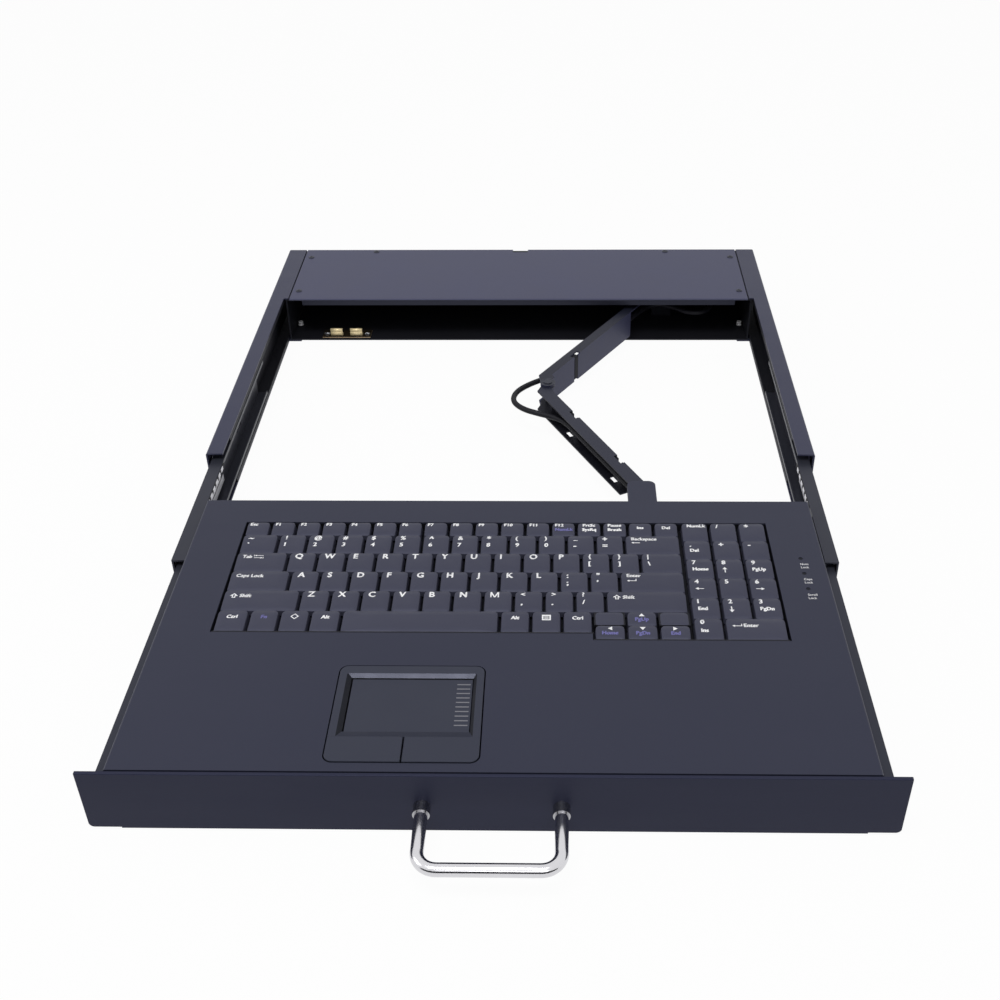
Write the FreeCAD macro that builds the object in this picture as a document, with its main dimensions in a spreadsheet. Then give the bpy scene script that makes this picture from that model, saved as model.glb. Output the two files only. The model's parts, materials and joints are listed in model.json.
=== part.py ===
"""A sliding keyboard drawer for an equipment rack, drawn out to its stop.

The drawer runs on two ball slides between the side rails of a fixed chassis. A folding cable arm
joins the drawer to the box at the back of the chassis. X is to the right, Y to the back, Z up, and
the origin is under the middle of the whole drawer, on the surface that the chassis stands on.
"""
import FreeCAD
import Part
import Sketcher
import math
import os
import re
from FreeCAD import Placement, Rotation, Vector

doc = FreeCAD.newDocument("RackKeyboardDrawer")

# Driving dimensions, in millimetres
SIZES = {
    # Fixed chassis: two side rails and the box between them at the back
    "chassis_height": "43.6",
    "chassis_length": "358",
    "sheet_thick": "1.2",
    "bend_radius": "1.6",
    "rail_flange": "12.7",
    "rail_foot": "24",
    "seam_gap": "1.2",
    "cover_inset": "18",
    "cover_overhang": "2.5",
    "cover_lip": "5.6",
    "cover_lip_set": "11.5",
    "cover_notch_width": "14.5",
    "cover_notch_depth": "6",
    "pan_clearance": "1.5",
    "pan_flange": "15",
    "mount_set_front": "12.5",
    "mount_set_rear": "23.5",
    "mount_rise": "20",
    "mount_hole": "4.5",
    "floor_hole": "5",
    "floor_hole_inset": "3.6",
    "floor_hole_set": "28.5",
    # Cover screws
    "screw_shank": "3",
    "screw_head": "5.6",
    "screw_head_rise": "0.6",
    "screw_length": "5",
    "cover_screw_inset": "6",
    "cover_screw_front": "17.5",
    "cover_screw_rear": "17",
    "cover_back_screw_spread": "278",
    "cover_back_screw_set": "4.5",
    # Spring catch on the floor of the rear box
    "catch_inset": "51.3",
    "catch_width": "44",
    "catch_depth": "14",
    "catch_thick": "0.8",
    "catch_set": "2.5",
    "clip_width": "11",
    "clip_spread": "18",
    "clip_rise": "7.6",
    "clip_fold": "3.5",
    "clip_foot": "7",
    "catch_screw_spread": "37",
    "strike_reach": "14",
    "strike_clearance": "0.6",
    "strike_width": "12",
    # Front panel and pull handle
    "panel_reach": "14.75",
    "panel_height": "43.4",
    "panel_lift": "0.4",
    "panel_thick": "2",
    "panel_corner": "3",
    "panel_ear": "18",
    "panel_ear_step": "0.8",
    "handle_rod": "7.5",
    "handle_span": "76",
    "handle_out": "42.05",
    "handle_bend": "11",
    "handle_height": "20.2",
    "collar_size": "9.6",
    "collar_length": "6.5",
    "handle_screw": "4",
    "handle_screw_bite": "10",
    "panel_screw_spread": "300",
    # Drawer tray and deck
    "deck_margin": "33.56",
    "travel": "309",
    "close_gap": "0.5",
    "deck_room": "1.6",
    "deck_gap": "1.3",
    "deck_skirt": "7",
    "deck_overhang": "2.4",
    "tray_lift": "2",
    "port_width": "16",
    "port_height": "8",
    # Ball slides
    "slide_space": "14.75",
    "slide_thick": "1.2",
    "outer_slide_height": "40.8",
    "outer_slide_arm": "11.5",
    "outer_slide_length": "286",
    "outer_slide_set": "24.5",
    "outer_slide_lip": "1.9",
    "mid_slide_height": "32",
    "mid_slide_arm": "9.1",
    "mid_slide_length": "270",
    "mid_slide_set": "35",
    "mid_slide_gap": "2.4",
    "mid_slide_lip": "1.5",
    "inner_slide_height": "22",
    "inner_slide_arm": "9.75",
    "inner_slide_length": "245",
    "inner_slide_set": "2",
    "cage_thick": "0.6",
    "ball_clearance": "0.3",
    "cage_hole_clearance": "0.15",
    "outer_cage_length": "120",
    "outer_cage_set": "102.75",
    "inner_cage_length": "84",
    "inner_cage_set": "121.1",
    "ball_pitch": "24",
    "slide_rivet": "4",
    # Keyboard
    "key_pitch": "19.22",
    "row_pitch": "19.4",
    "key_gap": "0.8",
    "key_side_gap": "2",
    "key_height": "5.1",
    "key_rise": "0.6",
    "key_side_slope": "0.95",
    "key_back_slope": "0.4",
    "key_front_slope": "1.4",
    "key_dish": "0.35",
    "key_travel": "2.5",
    "key_edge": "0.6",
    "function_row_depth": "14.2",
    "block_units": "15.24",
    "block_gap": "0.9",
    "pad_pitch": "19.19",
    "pad_reach": "5.9",
    "keyboard_margin": "25.9",
    "stem_size": "4",
    "stem_clearance": "0.3",
    "stem_reach": "0.7",
    "base_thick": "2",
    "key_clearance": "0.3",
    "base_rim": "3",
    "membrane_thick": "3.8",
    # Touchpad
    "touch_middle": "-49.2",
    "touch_width": "84.6",
    "touch_depth": "74.8",
    "touch_front": "10.2",
    "touch_gap": "24.4",
    "touch_corner": "5",
    "touch_rise": "0.5",
    "touch_drop": "6",
    "touch_fit": "0.2",
    "touch_seam": "0.75",
    "touch_rim": "6",
    "touch_back_rim": "8.6",
    "touch_bevel": "2.1",
    "touch_recess": "2.2",
    "pad_sheet_thick": "1",
    "button_depth": "20.4",
    "button_border": "1.6",
    "button_gap": "0.5",
    "button_thick": "3",
    "button_travel": "0.6",
    # Indicator lamps
    "lamp_size": "2.4",
    "lamp_fit": "0.2",
    "lamp_inset": "15.3",
    "lamp_rear": "63.6",
    "lamp_pitch": "15.4",
    "lamp_length": "8",
    "lamp_sink": "0.2",
    # Controller board under the deck
    "board_width": "70",
    "board_depth": "40",
    "board_thick": "1.6",
    "board_post": "6",
    "board_rise": "8",
    "board_set": "8",
    # Cable arm
    "arm_top_drop": "10",
    "arm_height": "25",
    "front_link_height": "18",
    "rear_link_width": "8.3",
    "front_link_width": "11",
    "arm_thick": "1.2",
    "arm_gap": "0.3",
    "rear_link_offset": "8.35",
    "front_link_offset": "7",
    "arm_lug": "6",
    "arm_pin": "4",
    "arm_pin_head": "7",
    "arm_pin_head_rise": "1",
    "pin_fit": "0.05",
    "rear_link_length": "199.3",
    "front_link_length": "162.05",
    "rear_pivot_x": "133.4",
    "rear_pivot_set": "36.5",
    "front_pivot_x": "96",
    "front_pivot_set": "36",
    "link_web_set": "13",
    "rear_end_cut": "53",
    "front_end_cut": "20",
    "tie_slot_width": "6",
    "tie_notch_length": "11",
    "tie_notch_depth": "3.2",
    "strap_slot_width": "3.6",
    "strap_slot_length": "8",
    "tie_slot_near": "52",
    "tie_slot_far": "123",
    "bracket_thick": "1.5",
    "bracket_width": "18",
    "bracket_foot": "14",
    "bracket_back": "10",
    "slide_slot": "25.8",
    "slide_slot_width": "6.7",
    "slide_slot_shift": "1.1",
    "drawer_bracket_width": "20",
    "drawer_bracket_drop": "15",
    "roof_gap": "0.5",
    # Cable
    "cable_size": "4.5",
    "cable_height": "22",
    "cable_drop": "7",
    "cable_end_cut": "34",
    "cable_meet_gap": "0.3",
    "gland_size": "11",
    "gland_length": "9",
    "gland_flange": "15",
    "gland_flange_thick": "1.5",
    "gland_inset": "32.6",
}

# Places that follow from the driving dimensions
PLACES = {
    "overall_length": "handle_out + handle_rod / 2 + panel_thick + close_gap + travel + chassis_length",
    "panel_front": "handle_out + handle_rod / 2 - overall_length / 2",
    "panel_back": "panel_front + panel_thick",
    # Across the drawer and the chassis, from the keys to the outside
    "block_width": "block_units * key_pitch",
    "keys_width": "block_width + block_gap + 3 * pad_pitch",
    "deck_half": "keys_width / 2 + deck_margin",
    "tray_half": "deck_half - sheet_thick",
    "wall_inside": "tray_half + slide_space",
    "chassis_half": "wall_inside + sheet_thick",
    "flange_edge": "chassis_half - rail_flange",
    "cover_half": "chassis_half - cover_inset",
    "mid_web": "wall_inside - mid_slide_gap",
    "mid_edge": "mid_web - mid_slide_arm",
    "pan_half": "mid_edge - pan_clearance",
    "catch_middle": "catch_inset - pan_half",
    "floor_hole_x": "pan_half - sheet_thick - floor_hole_inset",
    "gland_x": "pan_half - sheet_thick - gland_inset",
    "inner_edge": "tray_half + inner_slide_arm",
    "panel_half": "deck_half + panel_reach",
    # Along the deck, from the touchpad to the back of the drawer
    "touch_y": "panel_front + touch_front",
    "pad_front": "touch_y + touch_depth + touch_gap",
    "block_front": "pad_front + pad_reach",
    "keyboard_rear": "block_front + 5 * row_pitch + function_row_depth",
    "deck_front": "panel_back + deck_gap",
    "deck_rear": "keyboard_rear + keyboard_margin",
    "deck_depth": "deck_rear - deck_front",
    "tray_rear": "deck_rear - deck_overhang",
    # Along the chassis
    "chassis_front": "panel_back + travel + close_gap",
    "chassis_rear": "chassis_front + chassis_length",
    "cover_front": "deck_rear + travel + deck_room",
    "box_front": "cover_front + cover_overhang",
    "box_depth": "chassis_rear - box_front",
    "floor_hole_y": "box_front + floor_hole_set",
    # Levels
    "under_top": "chassis_height - sheet_thick",
    "box_floor": "2 * sheet_thick",
    "deck_under": "chassis_height - sheet_thick",
    "tray_floor": "tray_lift + sheet_thick",
    "slide_middle": "chassis_height / 2",
    "board_bottom": "tray_floor + board_rise",
    "strike_height": "box_floor + catch_thick + clip_rise + strike_clearance",
    # Cable arm
    "arm_top": "chassis_height - arm_top_drop",
    "arm_bottom": "arm_top - arm_height",
    "front_top": "arm_top - arm_thick - arm_gap",
    "front_bottom": "front_top - front_link_height",
    "rear_pivot_y": "box_front + rear_pivot_set",
    "front_pivot_y": "tray_rear + front_pivot_set",
    # Keyboard
    "key_top": "chassis_height + key_rise",
    "key_bottom": "key_top - key_height",
    "base_top": "key_bottom - key_travel - key_clearance",
    "base_bottom": "base_top - base_thick",
    "stem_length": "key_bottom - base_bottom + stem_reach",
    "keys_left": "-keys_width / 2",
    "block_right": "keys_left + block_width",
    "arrows_left": "block_right - 3.1 * key_pitch",
    "pad_left": "block_right + block_gap",
    # Touchpad and lamps
    "touch_top": "chassis_height + touch_rise",
    "button_top": "touch_top - touch_rise / 5",
    "lamp_x": "deck_half - lamp_inset",
    "lamp_y": "deck_rear - lamp_rear",
    "catch_front": "box_front + catch_set",
}


def fill_sheet(name, rows, cells):
    """Write one named cell for each row, a number or a formula on earlier cells."""
    sheet = doc.addObject("Spreadsheet::Sheet", name)
    for number, (alias, content) in enumerate(rows.items(), 1):
        sheet.set("A%d" % number, alias)
        formula = not re.fullmatch(r"-?[\d.]+", content)
        sheet.set("B%d" % number, "=" + cell_names(content, cells) if formula else content)
        sheet.setAlias("B%d" % number, alias)
        cells[alias] = "%s.%s" % (name, alias)
    doc.recompute()
    return sheet


def cell_names(text, cells):
    """The same expression with each size named by its sheet cell."""
    return re.sub(r"[a-z]\w*", lambda word: cells.get(word.group(), word.group()), text)


CELLS = {}
sizes = fill_sheet("Sizes", SIZES, CELLS)
places = fill_sheet("Places", PLACES, CELLS)


def ex(text):
    """An expression for a document object."""
    return cell_names(str(text), CELLS)


def val(text):
    """The same expression as a number."""
    return float(sizes.evalExpression(ex(text)))


# Bodies made of sketches

parts = []


def piece(label, shape_object):
    """Keep a finished object as a sub-part under its own name."""
    shape_object.Label = label
    parts.append(shape_object)
    return shape_object


def new_body(label):
    return piece(label, doc.addObject("PartDesign::Body", label))


def new_sketch(body, plane, at):
    """A sketch on one of the body's own planes, moved along that plane's axis to a place."""
    sketch = body.newObject("Sketcher::SketchObject", "Sketch")
    support = [datum for datum in body.Origin.OriginFeatures if datum.Role == plane + "_Plane"][0]
    sketch.AttachmentSupport = (support, [""])
    sketch.MapMode = "FlatFace"
    sign = "-" if plane == "XZ" else ""
    sketch.setExpression("AttachmentOffset.Base.z", ex("%s(%s)" % (sign, at)))
    return sketch


def pin_point(sketch, geometry, point, place):
    """Tie a point of a sketch to two expressions."""
    for kind, text in zip(("DistanceX", "DistanceY"), place):
        rule = sketch.addConstraint(Sketcher.Constraint(kind, -1, 1, geometry, point, val(text)))
        sketch.setExpression("Constraints[%d]" % rule, ex(text))


def draw_outline(sketch, points):
    """A closed outline of straight edges through points given as expressions."""
    corners = [Vector(val(across), val(up), 0) for across, up in points]
    count = len(corners)
    first = sketch.GeometryCount
    for number in range(count):
        line = Part.LineSegment(corners[number], corners[(number + 1) % count])
        sketch.addGeometry(line, False)
    for number in range(count):
        following = first + (number + 1) % count
        sketch.addConstraint(Sketcher.Constraint("Coincident", first + number, 2, following, 1))
    for number, place in enumerate(points):
        pin_point(sketch, first + number, 1, place)


def draw_circle(sketch, centre, diameter):
    middle = Vector(val(centre[0]), val(centre[1]), 0)
    circle = sketch.addGeometry(Part.Circle(middle, Vector(0, 0, 1), val(diameter) / 2), False)
    pin_point(sketch, circle, 3, centre)
    rule = sketch.addConstraint(Sketcher.Constraint("Diameter", circle, val(diameter)))
    sketch.setExpression("Constraints[%d]" % rule, ex(diameter))


def draw(body, plane, at, outlines, circles):
    sketch = new_sketch(body, plane, at)
    for points in outlines:
        draw_outline(sketch, points)
    for centre, diameter in circles:
        draw_circle(sketch, centre, diameter)
    return sketch


def pad(body, plane, at, length, outlines=(), circles=()):
    """Add material from a place onwards, along the plane's positive axis."""
    feature = body.newObject("PartDesign::Pad", "Pad")
    feature.Profile = draw(body, plane, at, outlines, circles)
    feature.Reversed = plane == "XZ"
    feature.setExpression("Length", ex(length))
    doc.recompute()
    return feature


def cut(body, plane, at, length, outlines=(), circles=()):
    """Take material away, half of the length to each side of a place."""
    before = body.Shape.Volume
    feature = body.newObject("PartDesign::Pocket", "Pocket")
    feature.Profile = draw(body, plane, at, outlines, circles)
    feature.SideType = "Symmetric"
    feature.setExpression("Length", ex(length))
    doc.recompute()
    if feature.Shape.Volume >= before:
        raise ValueError("%s: a cut took nothing away" % body.Label)
    return feature


def dress_edges(body, kind, size_name, size, wanted):
    """Give the edges that a test picks a fillet or a chamfer."""
    base = body.Tip
    names = ["Edge%d" % (n + 1) for n, edge in enumerate(base.Shape.Edges) if wanted(edge)]
    if not names:
        raise ValueError("%s: no edge for a %s" % (body.Label, kind))
    feature = body.newObject("PartDesign::" + kind, kind)
    feature.Base = (base, names)
    feature.setExpression(size_name, ex(size))
    doc.recompute()


def round_edges(body, radius, wanted):
    dress_edges(body, "Fillet", "Radius", radius, wanted)


def along(edge, axis):
    """True for a straight edge along one axis."""
    if not isinstance(edge.Curve, Part.Line):
        return False
    return abs(abs(edge.Curve.Direction.dot(axis)) - 1) < 1e-6


def near(value, *targets):
    return any(abs(value - val(target)) < 0.01 for target in targets)


def rectangle(left, front, right, back):
    return [(left, front), (right, front), (right, back), (left, back)]


def mirrored(points, sign):
    return [("%s(%s)" % (sign, across), up) for across, up in points]


SIDES = {"left": "-", "right": ""}
AXIS_X, AXIS_Y, AXIS_Z = Vector(1, 0, 0), Vector(0, 1, 0), Vector(0, 0, 1)


# Round pieces made of Part primitives

def cylinder(centre, diameter, length, axis=AXIS_Z):
    """A cylinder from a centre given as three expressions, along an axis."""
    shape = doc.addObject("Part::Cylinder", "Cylinder")
    shape.setExpression("Radius", ex("(%s) / 2" % diameter))
    shape.setExpression("Height", ex(length))
    shape.Placement = Placement(Vector(0, 0, 0), Rotation(AXIS_Z, axis))
    for letter, text in zip("xyz", centre):
        shape.setExpression("Placement.Base." + letter, ex(text))
    return shape


def fuse(shapes):
    joined = doc.addObject("Part::MultiFuse", "Fuse")
    joined.Shapes = shapes
    return joined


def group(label, shapes):
    """Separate solids that share one node."""
    together = doc.addObject("Part::Compound", label)
    together.Links = shapes
    return piece(label, together)


def headed_pin(centre, head, head_rise, shank, length, axis=AXIS_Z):
    """A head that stands out along the axis, with its shank behind it."""
    return fuse([cylinder(centre, head, head_rise, axis), cylinder(centre, shank, length, -axis)])


# Shapes computed from the sheet

def computed(label, shape):
    feature = doc.addObject("Part::Feature", label)
    feature.Shape = shape
    return piece(label, feature)


def rounded_path(points, radius):
    """Straight runs through the points, with tangent arcs as large as the runs or radius allow."""
    edges = []
    start = points[0]
    for before, corner, after in zip(points, points[1:], points[2:]):
        back = (before - corner).normalize()
        ahead = (after - corner).normalize()
        half_turn = (math.pi - back.getAngle(ahead)) / 2
        room = 0.45 * min((before - corner).Length, (after - corner).Length)
        bend = min(radius, room / math.tan(half_turn))
        reach = bend * math.tan(half_turn)
        arc_start = corner + back * reach
        arc_end = corner + ahead * reach
        middle = (back + ahead).normalize()
        arc_middle = corner + middle * (bend / math.cos(half_turn) - bend)
        edges.append(Part.LineSegment(start, arc_start).toShape())
        edges.append(Part.Arc(arc_start, arc_middle, arc_end).toShape())
        start = arc_end
    edges.append(Part.LineSegment(start, points[-1]).toShape())
    return Part.Wire(edges)


def rod(points, diameter, radius=math.inf):
    """A round rod along a rounded path, tested against its section times its length."""
    path = rounded_path(points, radius)
    section = Part.Circle(points[0], points[1] - points[0], diameter / 2)
    solid = path.makePipeShell([Part.Wire(section.toShape())], True, True)
    expected = math.pi * diameter ** 2 / 4 * path.Length
    if abs(solid.Volume - expected) > 0.01 * expected:
        raise ValueError("a rod has the wrong volume")
    return solid


# Chassis: side rails

def side_rail(side):
    sign = SIDES[side]
    body = new_body(side + "_side_rail")
    channel = [
        ("chassis_half", "0"),
        ("chassis_half", "chassis_height"),
        ("flange_edge", "chassis_height"),
        ("flange_edge", "under_top"),
        ("wall_inside", "under_top"),
        ("wall_inside", "sheet_thick"),
        ("flange_edge", "sheet_thick"),
        ("flange_edge", "0"),
    ]
    pad(body, "XZ", "chassis_front", "chassis_length", [mirrored(channel, sign)])
    lap = rectangle("cover_half + seam_gap", "box_front", "flange_edge", "chassis_rear")
    pad(body, "XY", "under_top", "sheet_thick", [mirrored(lap, sign)])
    foot = rectangle("chassis_half - rail_foot", "box_front", "flange_edge", "chassis_rear")
    pad(body, "XY", "0", "sheet_thick", [mirrored(foot, sign)])
    round_edges(body, "bend_radius", lambda edge: along(edge, AXIS_Y)
                and near(abs(edge.CenterOfMass.x), "chassis_half"))
    wall = "%s(chassis_half - sheet_thick / 2)" % sign
    mounts = [((place, "slide_middle + (%d) * mount_rise / 2" % rise), "mount_hole")
              for place in ("chassis_front + mount_set_front", "chassis_rear - mount_set_rear")
              for rise in (-1, 1)]
    rivets = [((place, "slide_middle"), "slide_rivet") for place in outer_rivet_places()]
    cut(body, "YZ", wall, "3 * sheet_thick", [], mounts + rivets)
    floor_hole = ("%sfloor_hole_x" % sign, "floor_hole_y")
    cut(body, "XY", "sheet_thick / 2", "3 * sheet_thick", [], [(floor_hole, "floor_hole")])


def outer_rivet_places():
    """Where the rivets of a fixed slide member go, along the rail."""
    return ["chassis_front + outer_slide_set + outer_slide_length * %s" % share
            for share in ("0.1", "0.5", "0.9")]


# Chassis: rear box

def rear_pan():
    body = new_body("rear_pan")
    right = [
        ("pan_half", "sheet_thick"),
        ("pan_half", "under_top"),
        ("pan_half - pan_flange", "under_top"),
        ("pan_half - pan_flange", "under_top - sheet_thick"),
        ("pan_half - sheet_thick", "under_top - sheet_thick"),
        ("pan_half - sheet_thick", "box_floor"),
    ]
    pad(body, "XZ", "box_front", "box_depth", [right + mirrored(right[::-1], "-")])
    back = rectangle("sheet_thick / 2 - pan_half", "1.5 * sheet_thick",
                     "pan_half - sheet_thick / 2", "under_top")
    pad(body, "XZ", "chassis_rear - sheet_thick", "sheet_thick", [back])
    flange = rectangle("pan_flange - pan_half", "chassis_rear - pan_flange",
                       "pan_half - pan_flange", "chassis_rear - sheet_thick / 2")
    pad(body, "XY", "under_top - sheet_thick", "sheet_thick", [flange])
    floor_holes = [(("%sfloor_hole_x" % sign, "floor_hole_y"), "floor_hole") for sign in SIDES.values()]
    cut(body, "XY", "1.5 * sheet_thick", "sheet_thick * 2", [], floor_holes)
    screw_holes = [(place, "screw_shank") for place in cover_screw_places()]
    cut(body, "XY", "under_top - sheet_thick / 2", "sheet_thick * 2", [], screw_holes)
    gland_hole = [(("gland_x", "cable_height"), "gland_size")]
    cut(body, "XZ", "chassis_rear - sheet_thick / 2", "sheet_thick * 3", [], gland_hole)
    bracket_holes = [(place, "screw_shank") for place in arm_bracket_screw_places()]
    catch_holes = [(place, "screw_shank") for place in catch_screw_places()]
    cut(body, "XY", "1.5 * sheet_thick", "sheet_thick * 2", [], bracket_holes + catch_holes)


def cover_screw_places():
    corners = [("%s(cover_half - cover_screw_inset)" % sign, depth)
               for sign in SIDES.values()
               for depth in ("cover_front + cover_screw_front", "chassis_rear - cover_screw_rear")]
    backs = [("%scover_back_screw_spread / 2" % sign, "chassis_rear - cover_back_screw_set")
             for sign in SIDES.values()]
    return corners + backs


def rear_cover():
    body = new_body("rear_cover")
    profile = [
        ("cover_front", "chassis_height - cover_lip"),
        ("cover_front", "chassis_height"),
        ("chassis_rear", "chassis_height"),
        ("chassis_rear", "under_top"),
        ("cover_front + sheet_thick", "under_top"),
        ("cover_front + sheet_thick", "chassis_height - cover_lip"),
    ]
    pad(body, "YZ", "-cover_half", "2 * cover_half", [profile])
    lip_end = rectangle("cover_half - cover_lip_set", "chassis_height - 2 * cover_lip",
                        "cover_half + cover_lip", "under_top")
    cut(body, "XZ", "cover_front", "4 * sheet_thick", [lip_end, mirrored(lip_end, "-")])
    notch = rectangle("-cover_notch_width / 2", "chassis_rear - cover_notch_depth",
                      "cover_notch_width / 2", "chassis_rear + cover_notch_depth")
    holes = [(place, "screw_shank") for place in cover_screw_places()]
    cut(body, "XY", "chassis_height - sheet_thick / 2", "3 * sheet_thick", [notch], holes)
    round_edges(body, "bend_radius", lambda edge: along(edge, AXIS_X)
                and near(edge.CenterOfMass.y, "cover_front")
                and near(edge.CenterOfMass.z, "chassis_height"))


def screws(label, places, height, length="screw_length"):
    """Round-headed screws driven downwards at places on one level."""
    group(label, [headed_pin(place + (height,), "screw_head", "screw_head_rise", "screw_shank", length)
                  for place in places])


# Chassis: spring catch

def catch_screw_places():
    return [("catch_middle + (%d) * catch_screw_spread / 2" % sign, "catch_front + catch_depth * 0.42")
            for sign in (-1, 1)]


def catch_base():
    body = new_body("catch_base")
    plate = rectangle("catch_middle - catch_width / 2", "catch_front",
                      "catch_middle + catch_width / 2", "catch_front + catch_depth")
    holes = [(place, "screw_shank") for place in catch_screw_places()]
    pad(body, "XY", "box_floor", "catch_thick", [plate])
    cut(body, "XY", "box_floor + catch_thick / 2", "2 * catch_thick", [], holes)


def catch_clips():
    """Two leaves that stand up from the base, each with a foot behind and a folded top."""
    foot = "box_floor + catch_thick"
    top = foot + " + clip_rise"
    front = "catch_front + 1.5 * catch_thick"
    profile = [
        (front, foot),
        (front, top),
        (front + " + clip_fold", top),
        (front + " + clip_fold", top + " - catch_thick"),
        (front + " + catch_thick", top + " - catch_thick"),
        (front + " + catch_thick", foot + " + catch_thick"),
        (front + " + clip_foot", foot + " + catch_thick"),
        (front + " + clip_foot", foot),
    ]
    body = new_body("catch_clips")
    body.AllowCompound = True
    for sign in (-1, 1):
        start = "catch_middle + (%d) * clip_spread / 2 - clip_width / 2" % sign
        pad(body, "YZ", start, "clip_width", [profile])


def catch_strike():
    """The bent plate on the back of the drawer whose two tongues ride over the clips."""
    body = new_body("catch_strike")
    width = "clip_spread + strike_width"
    flange = [
        ("tray_rear", "strike_height - catch_width / 4"),
        ("tray_rear", "strike_height + sheet_thick"),
        ("tray_rear + strike_reach", "strike_height + sheet_thick"),
        ("tray_rear + strike_reach", "strike_height"),
        ("tray_rear + sheet_thick", "strike_height"),
        ("tray_rear + sheet_thick", "strike_height - catch_width / 4"),
    ]
    pad(body, "YZ", "catch_middle - (%s) / 2" % width, width, [flange])
    gap = rectangle("catch_middle - (clip_spread - strike_width) / 2", "tray_rear + strike_reach / 3",
                    "catch_middle + (clip_spread - strike_width) / 2", "tray_rear + 2 * strike_reach")
    cut(body, "XY", "strike_height + sheet_thick / 2", "3 * sheet_thick", [gap])
    holes = [(place, "screw_shank") for place in strike_screw_places()]
    cut(body, "XZ", "tray_rear + sheet_thick / 2", "2 * sheet_thick", [], holes)


# Ball slides

def slide_channel(side, label, web, edge, half, lip, start, length):
    """A slide member: a web with two arms towards the edge, each arm ending in a lip."""
    body = new_body("%s_%s" % (side, label))
    inwards = "-" if val(web) > val(edge) else "+"
    web_face = "%s %s slide_thick" % (web, inwards)
    lip_face = "%s %s slide_thick" % (edge, "+" if inwards == "-" else "-")
    upper = [
        (web, "slide_middle + %s" % half),
        (edge, "slide_middle + %s" % half),
        (edge, "slide_middle + %s - slide_thick - %s" % (half, lip)),
        (lip_face, "slide_middle + %s - slide_thick - %s" % (half, lip)),
        (lip_face, "slide_middle + %s - slide_thick" % half),
        (web_face, "slide_middle + %s - slide_thick" % half),
    ]
    if val(lip) == 0:
        upper = upper[:2] + [(edge, "slide_middle + %s - slide_thick" % half)] + upper[5:]
    lower = [(across, "2 * slide_middle - (%s)" % up) for across, up in upper[::-1]]
    pad(body, "XZ", start, length, [mirrored(upper + lower, SIDES[side])])
    return body


def outer_slide(side):
    body = slide_channel(side, "outer_slide", "wall_inside", "wall_inside - outer_slide_arm",
                         "outer_slide_height / 2", "outer_slide_lip",
                         "chassis_front + outer_slide_set", "outer_slide_length")
    holes = [((place, "slide_middle"), "slide_rivet") for place in outer_rivet_places()]
    cut(body, "YZ", "%s(wall_inside - slide_thick / 2)" % SIDES[side], "2 * slide_thick", [], holes)


def mid_slide(side):
    body = slide_channel(side, "mid_slide", "mid_web", "mid_edge", "mid_slide_height / 2", "mid_slide_lip",
                         "chassis_front + mid_slide_set - travel / 2", "mid_slide_length")
    start = "chassis_front + mid_slide_set - travel / 2"
    windows = [rectangle("%s + mid_slide_length * %s" % (start, first), "slide_middle - mid_slide_height / 6",
                         "%s + mid_slide_length * %s" % (start, last), "slide_middle + mid_slide_height / 6")
               for first, last in (("0.06", "0.12"), ("0.18", "0.24"), ("0.7", "0.76"))]
    cut(body, "YZ", "%s(mid_web - slide_thick / 2)" % SIDES[side], "2 * slide_thick", windows)


def inner_slide(side):
    body = slide_channel(side, "inner_slide", "tray_half", "inner_edge", "inner_slide_height / 2", "0",
                         "panel_back + inner_slide_set", "inner_slide_length")
    holes = [((place, "slide_middle"), "screw_shank") for place in inner_screw_places()]
    cut(body, "YZ", "%s(tray_half + slide_thick / 2)" % SIDES[side], "2 * slide_thick", [], holes)


def inner_screw_places():
    return ["panel_back + inner_slide_set + inner_slide_length * %s" % share for share in ("0.12", "0.88")]


def ball_cage(side, label, web, tip, ball_x, inside, outside, start, length):
    """A bent strip that carries steel balls between an arm's inner face and the next member's outer face."""
    sign = SIDES[side]
    level = "((%s) + (%s)) / 2" % (inside, outside)
    ball = "((%s) - (%s) - 2 * ball_clearance)" % (outside, inside)
    upper = [
        (web, "slide_middle + %s + cage_thick / 2" % level),
        (tip, "slide_middle + %s + cage_thick / 2" % level),
        (tip, "slide_middle + %s - cage_thick / 2" % level),
        ("%s - cage_thick" % web, "slide_middle + %s - cage_thick / 2" % level),
    ]
    lower = [(across, "2 * slide_middle - (%s)" % up) for across, up in upper[::-1]]
    body = new_body("%s_%s_ball_cage" % (side, label))
    parts.remove(body)
    pad(body, "XZ", start, length, [mirrored(upper + lower, sign)])
    count = int(val(length) // val("ball_pitch"))
    first = "%s + (%s - %d * ball_pitch) / 2" % (start, length, count - 1)
    rows = ["%s + %d * ball_pitch" % (first, number) for number in range(count)]
    holes = [(("%s(%s)" % (sign, ball_x), place), "%s + 2 * cage_hole_clearance" % ball) for place in rows]
    for level_sign in ("+", "-"):
        cut(body, "XY", "slide_middle %s %s" % (level_sign, level), "2 * cage_thick", [], holes)
    body.Label = body.Label + "_strip"
    balls = []
    for level_sign in ("+", "-"):
        for place in rows:
            sphere = doc.addObject("Part::Sphere", "Ball")
            sphere.setExpression("Radius", ex("%s / 2" % ball))
            centre = ("%s(%s)" % (sign, ball_x), place, "slide_middle %s %s" % (level_sign, level))
            for letter, text in zip("xyz", centre):
                sphere.setExpression("Placement.Base." + letter, ex(text))
            balls.append(sphere)
    group("%s_%s_ball_cage" % (side, label), [body] + balls)


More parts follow.
